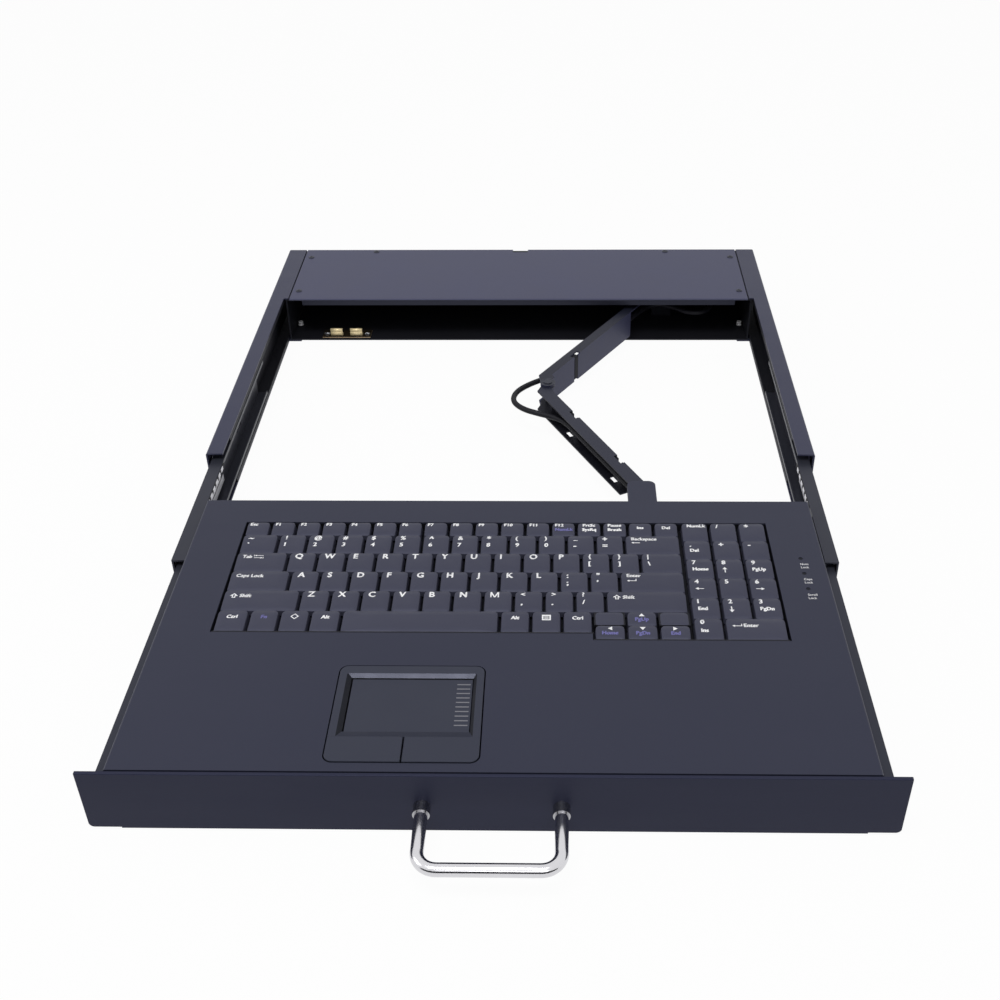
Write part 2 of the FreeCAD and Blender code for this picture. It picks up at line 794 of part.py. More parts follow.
def ball_cages(side):
    ball_cage(side, "outer", "(wall_inside + mid_web) / 2 - slide_thick / 2 + cage_thick / 2",
              "wall_inside - outer_slide_arm + slide_thick + cage_thick",
              "(wall_inside + mid_edge) / 2 - slide_thick / 2",
              "mid_slide_height / 2", "outer_slide_height / 2 - slide_thick",
              "chassis_front + outer_cage_set - travel / 4", "outer_cage_length")
    ball_cage(side, "inner", "(mid_web - slide_thick + inner_edge) / 2 + cage_thick / 2",
              "mid_edge + slide_thick + cage_thick",
              "(mid_edge + inner_edge) / 2 + slide_thick / 2",
              "inner_slide_height / 2", "mid_slide_height / 2 - slide_thick",
              "chassis_front + inner_cage_set - travel * 3 / 4", "inner_cage_length")


def slide_fasteners():
    rivets = []
    drawer_screws = []
    for sign in SIDES.values():
        outwards = AXIS_X if sign == "" else -AXIS_X
        for place in outer_rivet_places():
            start = ("%s(wall_inside - slide_thick)" % sign, place, "slide_middle")
            rivets.append(cylinder(start, "slide_rivet", "slide_thick + sheet_thick", outwards))
        for place in inner_screw_places():
            start = ("%s(tray_half + slide_thick)" % sign, place, "slide_middle")
            drawer_screws.append(headed_pin(start, "screw_head", "screw_head_rise", "screw_shank",
                                            "screw_length", outwards))
    group("outer_slide_rivets", rivets)
    group("inner_slide_screws", drawer_screws)


# Drawer: tray and deck

def board_places():
    """The four posts under the controller board."""
    middle = ("front_pivot_x", "tray_rear - sheet_thick - board_set - board_depth / 2")
    return [("%s + (%d) * (board_width / 2 - board_post)" % (middle[0], column),
             "%s + (%d) * (board_depth / 2 - board_post)" % (middle[1], row))
            for column in (-1, 1) for row in (-1, 1)]


def drawer_tray():
    body = new_body("drawer_tray")
    block = rectangle("-tray_half", "panel_back", "tray_half", "tray_rear")
    pad(body, "XY", "tray_lift", "deck_under - tray_lift", [block])
    hollow = rectangle("sheet_thick - tray_half", "panel_back + sheet_thick",
                       "tray_half - sheet_thick", "tray_rear - sheet_thick")
    cut(body, "XY", "deck_under", "2 * (deck_under - tray_floor)", [hollow])
    port = rectangle("front_pivot_x - port_width / 2", "tray_floor + sheet_thick",
                     "front_pivot_x + port_width / 2", "tray_floor + sheet_thick + port_height")
    rear_holes = [(place, "screw_shank") for place in drawer_bracket_screw_places() + strike_screw_places()]
    cut(body, "XZ", "tray_rear - sheet_thick / 2", "3 * sheet_thick", [port], rear_holes)
    front_holes = [(place, "screw_shank") for place in panel_screw_places()]
    front_holes += [(place, "handle_screw") for place in handle_places()]
    cut(body, "XZ", "panel_back + sheet_thick / 2", "1.5 * sheet_thick", [], front_holes)
    for sign in SIDES.values():
        holes = [((place, "slide_middle"), "screw_shank") for place in inner_screw_places()]
        cut(body, "YZ", "%s(tray_half - sheet_thick / 2)" % sign, "2 * sheet_thick", [], holes)
    pad(body, "XY", "tray_floor - sheet_thick / 2", "board_rise + sheet_thick / 2", [],
        [(place, "board_post") for place in board_places()])


def strike_screw_places():
    return [("catch_middle + (%d) * clip_spread / 2" % sign, "strike_height - catch_width / 8")
            for sign in (-1, 1)]


def deck_plate():
    body = new_body("deck_plate")
    right = [
        ("deck_half", "chassis_height"),
        ("deck_half", "chassis_height - deck_skirt"),
        ("deck_half - sheet_thick", "chassis_height - deck_skirt"),
        ("deck_half - sheet_thick", "deck_under"),
    ]
    pad(body, "XZ", "deck_front", "deck_depth", [right + mirrored(right[::-1], "-")])
    round_edges(body, "bend_radius", lambda edge: along(edge, AXIS_Y)
                and near(abs(edge.CenterOfMass.x), "deck_half")
                and near(edge.CenterOfMass.z, "chassis_height"))
    keys = [
        ("keys_left - key_edge", "keyboard_rear + key_edge"),
        ("keys_left - key_edge", "block_front - key_edge"),
        ("arrows_left - key_edge", "block_front - key_edge"),
        ("arrows_left - key_edge", "pad_front - key_edge"),
        ("-keys_left + key_edge", "pad_front - key_edge"),
        ("-keys_left + key_edge", "keyboard_rear + key_edge"),
    ]
    lamps = [(place, "lamp_size + 2 * lamp_fit") for place in lamp_places()]
    level = "chassis_height - sheet_thick / 2"
    cut(body, "XY", level, "3 * sheet_thick", [keys], lamps)
    touch = rectangle("touch_middle - touch_width / 2 - touch_seam", "touch_y - touch_seam",
                      "touch_middle + touch_width / 2 + touch_seam", "touch_y + touch_depth + touch_seam")
    cut(body, "XY", level, "3 * sheet_thick", [touch])
    round_edges(body, "touch_corner + touch_seam", lambda edge: along(edge, AXIS_Z)
                and near(abs(edge.CenterOfMass.x - val("touch_middle")), "touch_width / 2 + touch_seam"))


def lamp_places():
    return [("lamp_x", "lamp_y - %d * lamp_pitch" % number) for number in range(3)]


def indicator_lamps():
    group("indicator_lamps", [cylinder(place + ("chassis_height - lamp_sink - lamp_length",),
                                       "lamp_size", "lamp_length") for place in lamp_places()])


# Drawer: front panel and handle

def handle_places():
    return [("%shandle_span / 2" % sign, "handle_height") for sign in SIDES.values()]


def panel_screw_places():
    return [("%spanel_screw_spread / 2" % sign, "slide_middle") for sign in SIDES.values()]


def front_panel():
    body = new_body("front_panel")
    right = [
        ("panel_half - panel_ear", "panel_lift"),
        ("panel_half - panel_ear", "panel_lift + panel_ear_step"),
        ("panel_half", "panel_lift + panel_ear_step"),
        ("panel_half", "panel_lift + panel_height"),
    ]
    pad(body, "XZ", "panel_front", "panel_thick", [right + mirrored(right[::-1], "-")])
    holes = [(place, "handle_screw") for place in handle_places()]
    cut(body, "XZ", "panel_front + panel_thick / 2", "2 * panel_thick", [], holes)
    blind = [(place, "screw_shank") for place in panel_screw_places()]
    cut(body, "XZ", "panel_back", "panel_thick", [], blind)
    round_edges(body, "panel_corner", lambda edge: along(edge, AXIS_Y)
                and near(abs(edge.CenterOfMass.x), "panel_half")
                and near(edge.CenterOfMass.z, "panel_lift + panel_ear_step"))
    round_edges(body, "panel_thick / 4", lambda edge: near(edge.CenterOfMass.y, "panel_front")
                and not isinstance(edge.Curve, Part.Circle)
                and near(edge.CenterOfMass.z, "panel_lift + panel_height"))


def pull_handle():
    half = val("handle_span / 2")
    height = val("handle_height")
    wall = val("panel_front")
    bar = wall - val("handle_out")
    corners = [Vector(-half, wall, height), Vector(-half, bar, height),
               Vector(half, bar, height), Vector(half, wall, height)]
    bow = rod(corners, val("handle_rod"), val("handle_bend"))
    bite = val("handle_screw_bite")
    for corner in (corners[0], corners[3]):
        bow = bow.cut(Part.makeCylinder(val("handle_screw") / 2, bite, corner, -AXIS_Y))
    computed("pull_handle", bow)


def handle_collars():
    collars = []
    for across, up in handle_places():
        start = (across, "panel_front", up)
        sleeve = doc.addObject("Part::Cut", "Collar")
        sleeve.Base = cylinder(start, "collar_size", "collar_length", -AXIS_Y)
        sleeve.Tool = cylinder((across, "panel_front + panel_thick", up), "handle_rod",
                               "collar_length + 2 * panel_thick", -AXIS_Y)
        collars.append(sleeve)
    group("handle_collars", collars)


def front_fasteners():
    inside = "panel_back + sheet_thick"
    through = "panel_thick + sheet_thick + handle_screw_bite"
    group("handle_screws", [headed_pin((across, inside, up), "2 * handle_screw", "handle_screw / 2",
                                       "handle_screw", through, AXIS_Y)
                            for across, up in handle_places()])
    group("panel_screws", [headed_pin((across, inside, up), "screw_head", "screw_head_rise",
                                      "screw_shank", "sheet_thick + panel_thick / 2", AXIS_Y)
                           for across, up in panel_screw_places()])


# Keyboard

def key_rows():
    """Each row of keys as its name, its back edge, its depth and the edges between its keys."""
    left = val("keys_left")
    right = val("block_right")
    pitch = val("key_pitch")
    deep = val("row_pitch")
    back = val("keyboard_rear")
    rows = {}
    short = val("function_row_depth")
    function_edges = [left + number * (right - left) / 17 for number in range(18)]
    rows["function_keys"] = [(back, short, function_edges)]
    firsts = {"number_keys": (1.3, 12), "upper_letter_keys": (1.8, 12),
              "home_letter_keys": (2.055, 11), "lower_letter_keys": (2.557, 10)}
    line = back - short
    for name, (first, count) in firsts.items():
        edges = [left] + [left + (first + number) * pitch for number in range(count + 1)] + [right]
        rows[name] = [(line, deep, edges)]
        line -= deep
    bottom = [left + share * pitch for share in (0, 1.072, 2.058, 3.043, 4.048)]
    arrows = val("arrows_left")
    after_space = [arrows - number * pitch for number in (3, 2, 1, 0)]
    rows["modifier_keys"] = [(line, deep, bottom), (line, deep, after_space)]
    rows["space_bar"] = [(line, deep, [bottom[-1], after_space[0]])]
    third = (right - arrows) / 3
    half = (line - val("pad_front")) / 2
    columns = [arrows + number * third for number in range(4)]
    rows["arrow_keys"] = [(line, half, columns[1:3]), (line - half, half, columns)]
    pad_left = val("pad_left")
    pad_edges = [pad_left + number * val("pad_pitch") for number in range(4)]
    pad_depth = (back - val("pad_front")) / 6
    rows["number_pad_keys"] = [(back - number * pad_depth, pad_depth, pad_edges) for number in range(5)]
    rows["number_pad_keys"].append((back - 5 * pad_depth, pad_depth, pad_edges[:2]))
    rows["number_pad_keys"].append((back - 5 * pad_depth, pad_depth, pad_edges[1:4:2]))
    return rows


def key_cells(row_list):
    """The left, right, front and back limits of each key of a row."""
    return [(left, right, back - depth, back)
            for back, depth, edges in row_list for left, right in zip(edges, edges[1:])]


def key_cap(cell):
    """A tapered cap with a scooped top, and the stem under it."""
    gap, aside = val("key_gap") / 2, val("key_side_gap") / 2
    left, right, front, back = (cell[0] + aside, cell[1] - aside, cell[2] + gap, cell[3] - gap)
    low, high = val("key_bottom"), val("key_top")
    side, behind, ahead = val("key_side_slope"), val("key_back_slope"), val("key_front_slope")
    cap = Part.makeWedge(left, low, -back, -back + behind, left + side,
                         right, high, -front, -front - ahead, right - side)
    cap.rotate(Vector(0, 0, 0), AXIS_X, 90)
    dish = val("key_dish")
    width = right - left - 2 * side
    scoop = width ** 2 / (8 * dish) + dish / 2
    middle = (left + right) / 2
    depth = back - front
    centre = Vector(middle, front - 1, high + scoop - dish)
    cap = cap.cut(Part.makeCylinder(scoop, depth + 2, centre, AXIS_Y))
    foot = Vector(middle, (front + back) / 2, low - val("stem_length"))
    return cap.fuse(Part.makeCylinder(val("stem_size") / 2, val("stem_length"), foot)).removeSplitter()


def stems(cells, clearance, low, high):
    """Straight bores for the stems of all keys."""
    radius = val("stem_size") / 2 + clearance
    return [Part.makeCylinder(radius, high - low + 2, Vector((left + right) / 2, (front + back) / 2, low - 1))
            for left, right, front, back in cells]


def keyboard():
    all_cells = []
    for name, row_list in key_rows().items():
        cells = key_cells(row_list)
        all_cells += cells
        computed(name, Part.makeCompound([key_cap(cell) for cell in cells]))
    rim = val("base_rim")
    edge = val("key_edge")
    left = val("keys_left") - edge
    front = val("pad_front") - edge
    width = -2 * left
    depth = val("keyboard_rear") + edge - front
    low, floor, top = val("base_bottom"), val("base_top"), val("deck_under")
    base = Part.makeBox(width + 2 * rim, depth + 2 * rim, top - low, Vector(left - rim, front - rim, low))
    base = base.cut(Part.makeBox(width, depth, top, Vector(left, front, floor)))
    base = base.cut(Part.makeCompound(stems(all_cells, val("stem_clearance"), low, floor)))
    computed("keyboard_base", base.fuse(key_fillers(floor)).removeSplitter())
    thick = val("membrane_thick")
    sheet = Part.makeBox(width, depth, thick, Vector(left, front, low - thick))
    cavity = 2 * val("stem_clearance")
    computed("keyboard_membrane", sheet.cut(Part.makeCompound(stems(all_cells, cavity, low - thick, low))))


def key_fillers(floor):
    """The two fixed blanks beside the upper arrow key, and the sill in front of the space bar row."""
    arrows, right = val("arrows_left"), val("block_right")
    third = (right - arrows) / 3
    line = val("block_front + row_pitch")
    half = (line - val("pad_front")) / 2
    gap = val("key_gap") / 2
    top = val("chassis_height")
    blanks = []
    for left in (arrows, right - third):
        blanks.append(Part.makeBox(third - 2 * gap, half - 2 * gap, top - floor,
                                   Vector(left + gap, line - half + gap, floor)))
    return blanks


# Touchpad

def touchpad_frame():
    body = new_body("touchpad_frame")
    left, right = "touch_middle - touch_width / 2", "touch_middle + touch_width / 2"
    front, back = "touch_y", "touch_y + touch_depth"
    pad(body, "XY", "touch_top - touch_drop", "touch_drop", [rectangle(left, front, right, back)])
    round_edges(body, "touch_corner", lambda edge: along(edge, AXIS_Z))
    well_back = back + " - touch_back_rim"
    well_front = front + " + button_border + button_depth"
    well = rectangle(left + " + touch_rim", well_front, right + " - touch_rim", well_back)
    cut(body, "XY", "touch_top", "2 * touch_recess", [well])

    def is_rim(edge):
        middle = edge.CenterOfMass
        aside = abs(middle.x - val("touch_middle"))
        on_side = along(edge, AXIS_Y) and near(aside, "touch_width / 2 - touch_rim")
        on_back = along(edge, AXIS_X) and near(middle.y, well_back)
        return near(middle.z, "touch_top") and (on_side or on_back)

    dress_edges(body, "Chamfer", "Size", "touch_bevel", is_rim)
    bay = rectangle(left + " + button_border", front + " + button_border",
                    right + " - button_border", well_front)
    cut(body, "XY", "touch_top", "2 * (button_thick + 2 * button_travel)", [bay])


def touchpad_surface():
    body = new_body("touchpad_surface")
    level = "touch_top - touch_recess"
    front = "touch_y + button_border + button_depth + touch_fit"
    sheet = rectangle("touch_middle - touch_width / 2 + touch_rim + touch_fit", front,
                      "touch_middle + touch_width / 2 - touch_rim - touch_fit",
                      "touch_y + touch_depth - touch_back_rim - touch_fit")
    pad(body, "XY", level, "pad_sheet_thick", [sheet])


def touchpad_button(side):
    body = new_body("touchpad_%s_button" % side)
    mark = "-" if side == "left" else "+"
    inner = "touch_middle %s button_gap / 2" % mark
    outer = "touch_middle %s (touch_width / 2 - button_border - touch_fit)" % mark
    across = [outer, inner] if side == "left" else [inner, outer]
    front = "touch_y + button_border + touch_fit"
    back = "touch_y + button_border + button_depth - touch_fit"
    pad(body, "XY", "button_top - button_thick", "button_thick",
        [rectangle(across[0], front, across[1], back)])
    outer = across[0] if side == "left" else across[1]
    round_edges(body, "touch_corner - button_border", lambda edge: along(edge, AXIS_Z)
                and near(edge.CenterOfMass.x, outer) and near(edge.CenterOfMass.y, front))
    round_edges(body, "button_thick / 6", lambda edge: near(edge.CenterOfMass.z, "button_top"))


def controller_board():
    body = new_body("controller_board")
    middle_y = "tray_rear - sheet_thick - board_set - board_depth / 2"
    board = rectangle("front_pivot_x - board_width / 2", "%s - board_depth / 2" % middle_y,
                      "front_pivot_x + board_width / 2", "%s + board_depth / 2" % middle_y)
    pad(body, "XY", "board_bottom", "board_thick", [board])
    chip = rectangle("front_pivot_x - board_width / 8", "%s - board_width / 8" % middle_y,
                     "front_pivot_x + board_width / 8", "%s + board_width / 8" % middle_y)
    pad(body, "XY", "board_bottom + board_thick / 2", "board_thick * 2", [chip])


# Cable arm

def arm_places():
    """The rear pivot, the elbow and the front pivot, in plan, with the elbow towards the middle."""
    rear = Vector(val("rear_pivot_x"), val("rear_pivot_y"), 0)
    front = Vector(val("front_pivot_x"), val("front_pivot_y"), 0)
    line = front - rear
    span = line.Length
    rear_length, front_length = val("rear_link_length"), val("front_link_length")
    share = (span ** 2 + rear_length ** 2 - front_length ** 2) / (2 * span)
    height = math.sqrt(rear_length ** 2 - share ** 2)
    unit = line / span
    elbow = rear + unit * share + Vector(unit.y, -unit.x, 0) * height
    return rear, elbow, front


def link_body(label, length, top, bottom, sign, offset, width, end_cut, far_offset, ties, straps=()):
    """A channel that lies along X from the elbow, its web beside the pivots and its mouth away from them."""
    body = new_body(label)
    web = "(%s - %s / 2)" % (offset, width)
    mouth = "(%s + %s / 2)" % (offset, width)
    start = "-arm_lug * 0.6"
    web_end = "%s - %s" % (length, end_cut)

    def turned(points):
        return [(across, "%s(%s)" % (sign, up)) for across, up in points]

    for level, end in ((top + " - arm_thick", "%s + arm_lug * 0.6" % length), (bottom, web_end)):
        strip = [(start, "0"), ("arm_lug * 1.6", "0"), ("arm_lug * 2.2", web), (end, web), (end, mouth),
                 ("arm_lug", mouth), (start, web)]
        pad(body, "XY", level, "arm_thick", [turned(strip)])
        pad(body, "XY", level, "arm_thick", [], [(("0", "0"), "2 * arm_lug")])
    far = (length, "%s(%s)" % (sign, far_offset))
    if far_offset == "0":
        tongue = [("%s - arm_lug * 2.2" % length, web), ("%s - arm_lug * 1.6" % length, "0"),
                  ("%s + arm_lug * 0.6" % length, "0"), ("%s + arm_lug * 0.6" % length, web)]
        pad(body, "XY", top + " - arm_thick", "arm_thick", [turned(tongue)])
    pad(body, "XY", top + " - arm_thick", "arm_thick", [], [(far, "2 * arm_lug")])
    wall = rectangle("link_web_set", web, web_end, web + " + arm_thick")
    pad(body, "XY", bottom + " + arm_thick / 2", "%s - (%s) - arm_thick" % (top, bottom), [turned(wall)])
    holes = [(("0", "0"), "arm_pin + 2 * pin_fit"), (far, "arm_pin + 2 * pin_fit")]
    slots = [turned(rectangle("%s - tie_slot_width / 2" % place, web + " - arm_thick",
                              "%s + tie_slot_width / 2" % place, web + " + 1.5 * arm_thick"))
             for place in ties]
    cut(body, "XY", "(%s + %s) / 2" % (top, bottom), "2 * arm_height", slots, holes)
    notches = [turned(rectangle("%s - tie_notch_length / 2" % place, web + " - arm_thick",
                                "%s + tie_notch_length / 2" % place, web + " + tie_notch_depth"))
               for place in ties]
    cut(body, "XY", top, "2.5 * arm_thick", notches)
    openings = [turned(rectangle("%s - strap_slot_length / 2" % place, "%s - strap_slot_width / 2" % offset,
                                 "%s + strap_slot_length / 2" % place, "%s + strap_slot_width / 2" % offset))
                for place in straps]
    if openings:
        cut(body, "XY", bottom + " + arm_thick / 2", "2 * arm_thick", openings)
    return body


def link_placement(elbow, far, far_offset):
    """Where a link lies: its origin on the elbow, turned so that its far pivot falls in place."""
    reach = far - elbow
    angle = math.atan2(reach.y, reach.x) + math.asin(far_offset / reach.Length)
    return Placement(elbow, Rotation(AXIS_Z, math.degrees(angle)))


def cable_arm():
    rear, elbow, front = arm_places()
    rear_place = link_placement(elbow, rear, 0.0)
    rear_link = link_body("arm_rear_link", "rear_link_length", "arm_top", "arm_bottom", "",
                          "rear_link_offset", "rear_link_width", "rear_end_cut", "0", ("tie_slot_near",))
    rear_link.Placement = rear_place
    front_place = link_placement(elbow, front, val("front_link_offset"))
    front_run = "sqrt(front_link_length ^ 2 - front_link_offset ^ 2)"
    front_link = link_body("arm_front_link", front_run, "front_top", "front_bottom", "-", "front_link_offset",
                           "front_link_width", "front_end_cut", "front_link_offset",
                           ("tie_slot_near", "tie_slot_far"), ("tie_slot_near", "tie_slot_far"))
    front_link.Placement = front_place
    head, rise, pin = "arm_pin_head", "arm_pin_head_rise", "arm_pin"
    elbow_text = (repr(elbow.x), repr(elbow.y))
    shank = headed_pin(elbow_text + ("arm_top",), head, rise, pin, "arm_height")
    foot = cylinder(elbow_text + ("arm_bottom - arm_pin_head_rise",), head, rise)
    piece("elbow_pin", fuse([shank, foot]))
    rear_top = ("rear_pivot_x", "rear_pivot_y", "arm_top + arm_gap")
    rear_deep = "arm_thick + 2 * arm_gap + bracket_thick"
    rear_foot = ("rear_pivot_x", "rear_pivot_y", "front_top - bracket_thick - arm_pin_head_rise")
    piece("arm_rear_pin", fuse([headed_pin(rear_top, head, rise, pin, rear_deep),
                                cylinder(rear_foot, head, rise)]))
    front_top = ("front_pivot_x", "front_pivot_y", "front_top")
    front_deep = "arm_thick + arm_gap + bracket_thick + arm_gap"
    front_foot = ("front_pivot_x", "front_pivot_y",
                  "front_top - arm_thick - 2 * arm_gap - bracket_thick - arm_pin_head_rise")
    piece("arm_front_pin", fuse([headed_pin(front_top, head, rise, pin, front_deep),
                                 cylinder(front_foot, head, rise)]))
    arm_cables(rear_place, front_place, elbow, front)


def arm_bracket():
    """A bent stand on the floor of the rear box, under the tongue of the rear link."""
    body = new_body("arm_bracket")
    top = "front_top"
    leg = "rear_pivot_y + bracket_back"
    profile = [
        ("rear_pivot_y - arm_lug * 1.4", top + " - bracket_thick"),
        ("rear_pivot_y - arm_lug * 1.4", top),
        (leg + " + bracket_thick", top),
        (leg + " + bracket_thick", "box_floor + bracket_thick"),
        (leg + " + bracket_foot", "box_floor + bracket_thick"),
        (leg + " + bracket_foot", "box_floor"),
        (leg, "box_floor"),
        (leg, top + " - bracket_thick"),
    ]
    pad(body, "YZ", "rear_pivot_x - bracket_width / 2", "bracket_width", [profile])
    cut(body, "XY", top, "4 * bracket_thick", [], [(("rear_pivot_x", "rear_pivot_y"), "arm_pin")])
    holes = [(place, "screw_shank") for place in arm_bracket_screw_places()]
    cut(body, "XY", "box_floor + bracket_thick / 2", "2 * bracket_thick", [], holes)


def arm_bracket_screw_places():
    return [("rear_pivot_x + (%d) * bracket_width / 4" % sign,
             "rear_pivot_y + bracket_back + bracket_foot * 0.6") for sign in (-1, 1)]


def drawer_bracket_screw_places():
    drop = "front_top - arm_thick - arm_gap - bracket_thick - drawer_bracket_drop / 2"
    return [("front_pivot_x + (%d) * drawer_bracket_width / 4" % sign, drop) for sign in (-1, 1)]


def drawer_arm_bracket():
    """A bent plate on the back of the drawer, with a slot that lets the arm's end run ahead under a roof."""
    body = new_body("drawer_arm_bracket")
    top = "front_top - arm_thick - arm_gap"
    tip = "front_pivot_y + arm_lug * 1.4"
    roof = "front_top + arm_pin_head_rise + roof_gap"
    roof_tip = "front_pivot_y + arm_lug * 0.6"
    profile = [
        ("tray_rear", top + " - bracket_thick - drawer_bracket_drop"),
        ("tray_rear", roof + " + bracket_thick"),
        (roof_tip, roof + " + bracket_thick"),
        (roof_tip, roof),
        ("tray_rear + bracket_thick", roof),
        ("tray_rear + bracket_thick", top),
        (tip, top),
        (tip, top + " - bracket_thick"),
        ("tray_rear + bracket_thick", top + " - bracket_thick"),
        ("tray_rear + bracket_thick", top + " - bracket_thick - drawer_bracket_drop"),
    ]
    pad(body, "YZ", "front_pivot_x - drawer_bracket_width / 2", "drawer_bracket_width", [profile])
    middle = "front_pivot_x - slide_slot_shift"
    slot = rectangle(middle + " - slide_slot_width / 2", "front_pivot_y - slide_slot",
                     middle + " + slide_slot_width / 2", "front_pivot_y")
    level = top + " - bracket_thick / 2"
    cut(body, "XY", level, "2 * bracket_thick", [slot])
    for end in ("front_pivot_y", "front_pivot_y - slide_slot"):
        cut(body, "XY", level, "2 * bracket_thick", [], [((middle, end), "slide_slot_width")])
    holes = [(place, "screw_shank") for place in drawer_bracket_screw_places()]
    cut(body, "XZ", "tray_rear + bracket_thick / 2", "2 * bracket_thick", [], holes)
    round_edges(body, "drawer_bracket_width / 4", lambda edge: along(edge, AXIS_Z)
                and near(edge.CenterOfMass.y, tip, roof_tip))


def back_fasteners():
    """Screws that hold the arm bracket and the strike to the back of the drawer."""
    places = [(across, "tray_rear + bracket_thick", up) for across, up in drawer_bracket_screw_places()]
    places += [(across, "tray_rear + sheet_thick", up) for across, up in strike_screw_places()]
    group("drawer_back_screws", [headed_pin(place, "screw_head", "screw_head_rise", "screw_shank",
                                            "screw_length", AXIS_Y) for place in places])


# Cable, held by the arm from the gland to the drawer

def arm_cables(rear_place, front_place, elbow, front):
    """Lengths of one cable, in points chosen along each link and at its ends."""
    size = val("cable_size")
    level = Vector(0, 0, val("cable_height"))
    rear_start = val("link_web_set") + 8 * size
    front_start = val("link_web_set") + 10 * size
    rear_end = val("rear_link_length - cable_end_cut")

    def on_rear(across, aside):
        return rear_place.multVec(Vector(across, val("rear_link_offset") + aside * size, 0)) + level

    def on_front(across, aside):
        return front_place.multVec(Vector(across, -val("front_link_offset") - aside * size, 0)) + level

    def by_elbow(across, along_drawer):
        return elbow + Vector(across, along_drawer, 0) * size + level

    cable("cable_arm_rear", [on_rear(rear_start, 0), on_rear(rear_end, 0)])
    drop = Vector(0, 0, -val("cable_drop"))
    pivot = Vector(front.x, front.y, 0) + level
    turned_down = pivot + drop * 1.1
    cable("cable_arm_front", [on_front(front_start, 0), pivot, turned_down], drop.Length)
    meet = turned_down - Vector(0, 0, val("cable_meet_gap"))
    inside = Vector(front.x, val("tray_rear") - 3 * size, meet.z + drop.z)
    cable("cable_drawer", [meet, meet + drop, inside], 0.95 * drop.Length)
    cable("cable_elbow", [
        on_rear(rear_start, 0), on_rear(rear_start - 3 * size, 0), by_elbow(-0.4, 5.9), by_elbow(-3.5, 3.7),
        by_elbow(-5.9, 0.9), by_elbow(-6.4, -2.4), by_elbow(-4.5, -5.1), by_elbow(-1.5, -6.7),
        by_elbow(1.3, -7.9), on_front(front_start - 3 * size, 0), on_front(front_start, 0)])
    gland = Vector(val("gland_x"), val("chassis_rear - gland_length"), 0) + level

    def by_gland(across, along_box):
        return gland + Vector(across, along_box, 0) * size

    cable("cable_rear", [
        on_rear(rear_end, 0), on_rear(rear_end + 3.4 * size, 0), by_gland(-10.1, -14), by_gland(-6.8, -16),
        by_gland(-4.7, -18), by_gland(-1.9, -18), by_gland(0.1, -16), by_gland(0.4, -12.1),
        by_gland(0.1, -6.2), gland])


def cable(label, points, radius=math.inf):
    solid = rod(points, val("cable_size"), radius)
    bends = [face.Surface.MajorRadius for face in solid.Faces if isinstance(face.Surface, Part.Toroid)]
    if bends:
        print("%s bends: %s mm" % (label, ", ".join("%.1f" % bend for bend in bends)))
    computed(label, solid)


def cable_gland():
    body = new_body("cable_gland")
    centre = ("gland_x", "cable_height")
    pad(body, "XZ", "chassis_rear - gland_length", "gland_length", [], [(centre, "gland_size")])
    flange_place = "chassis_rear - sheet_thick - gland_flange_thick"
    pad(body, "XZ", flange_place, "gland_flange_thick", [], [(centre, "gland_flange")])
    cut(body, "XZ", "chassis_rear", "4 * gland_length", [], [(centre, "cable_size")])


# Assembly

for each_side in SIDES:
    side_rail(each_side)
    outer_slide(each_side)
    mid_slide(each_side)
    inner_slide(each_side)
    ball_cages(each_side)
slide_fasteners()
rear_pan()
rear_cover()
screws("cover_screws", cover_screw_places(), "chassis_height")
catch_base()
catch_clips()
screws("catch_screws", catch_screw_places(), "box_floor + catch_thick", "catch_thick + sheet_thick")
arm_bracket()
screws("arm_bracket_screws", arm_bracket_screw_places(), "box_floor + bracket_thick",
       "bracket_thick + sheet_thick")
cable_gland()
drawer_tray()
deck_plate()
front_panel()
pull_handle()
handle_collars()
front_fasteners()
keyboard()
touchpad_frame()
touchpad_surface()
for each_side in SIDES:
    touchpad_button(each_side)
indicator_lamps()
controller_board()
drawer_arm_bracket()
catch_strike()
back_fasteners()
cable_arm()

doc.recompute()
for feature in doc.Objects:
    if "Invalid" in feature.State or "Error" in feature.State:
        raise ValueError("%s failed" % feature.Label)
os.makedirs("parts", exist_ok=True)
for part in parts:
    if part.Shape.isNull() or not part.Shape.isValid():
        raise ValueError("%s has no valid shape" % part.Label)
    part.Shape.exportStep("parts/%s.step" % part.Label)
print("%d sub-parts" % len(parts))
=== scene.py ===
"""Looks for the rack keyboard drawer: finishes, key caps with their marks, cable, screws, strap,
catch leaves, ball rows, touchpad, light and camera.

Lengths are written in millimetres and become metres when a mesh is made. X is to the right, Y to
the back and Z up, as in the solids. Finishes, lamps and the camera are written in metres.
"""
import json
import math

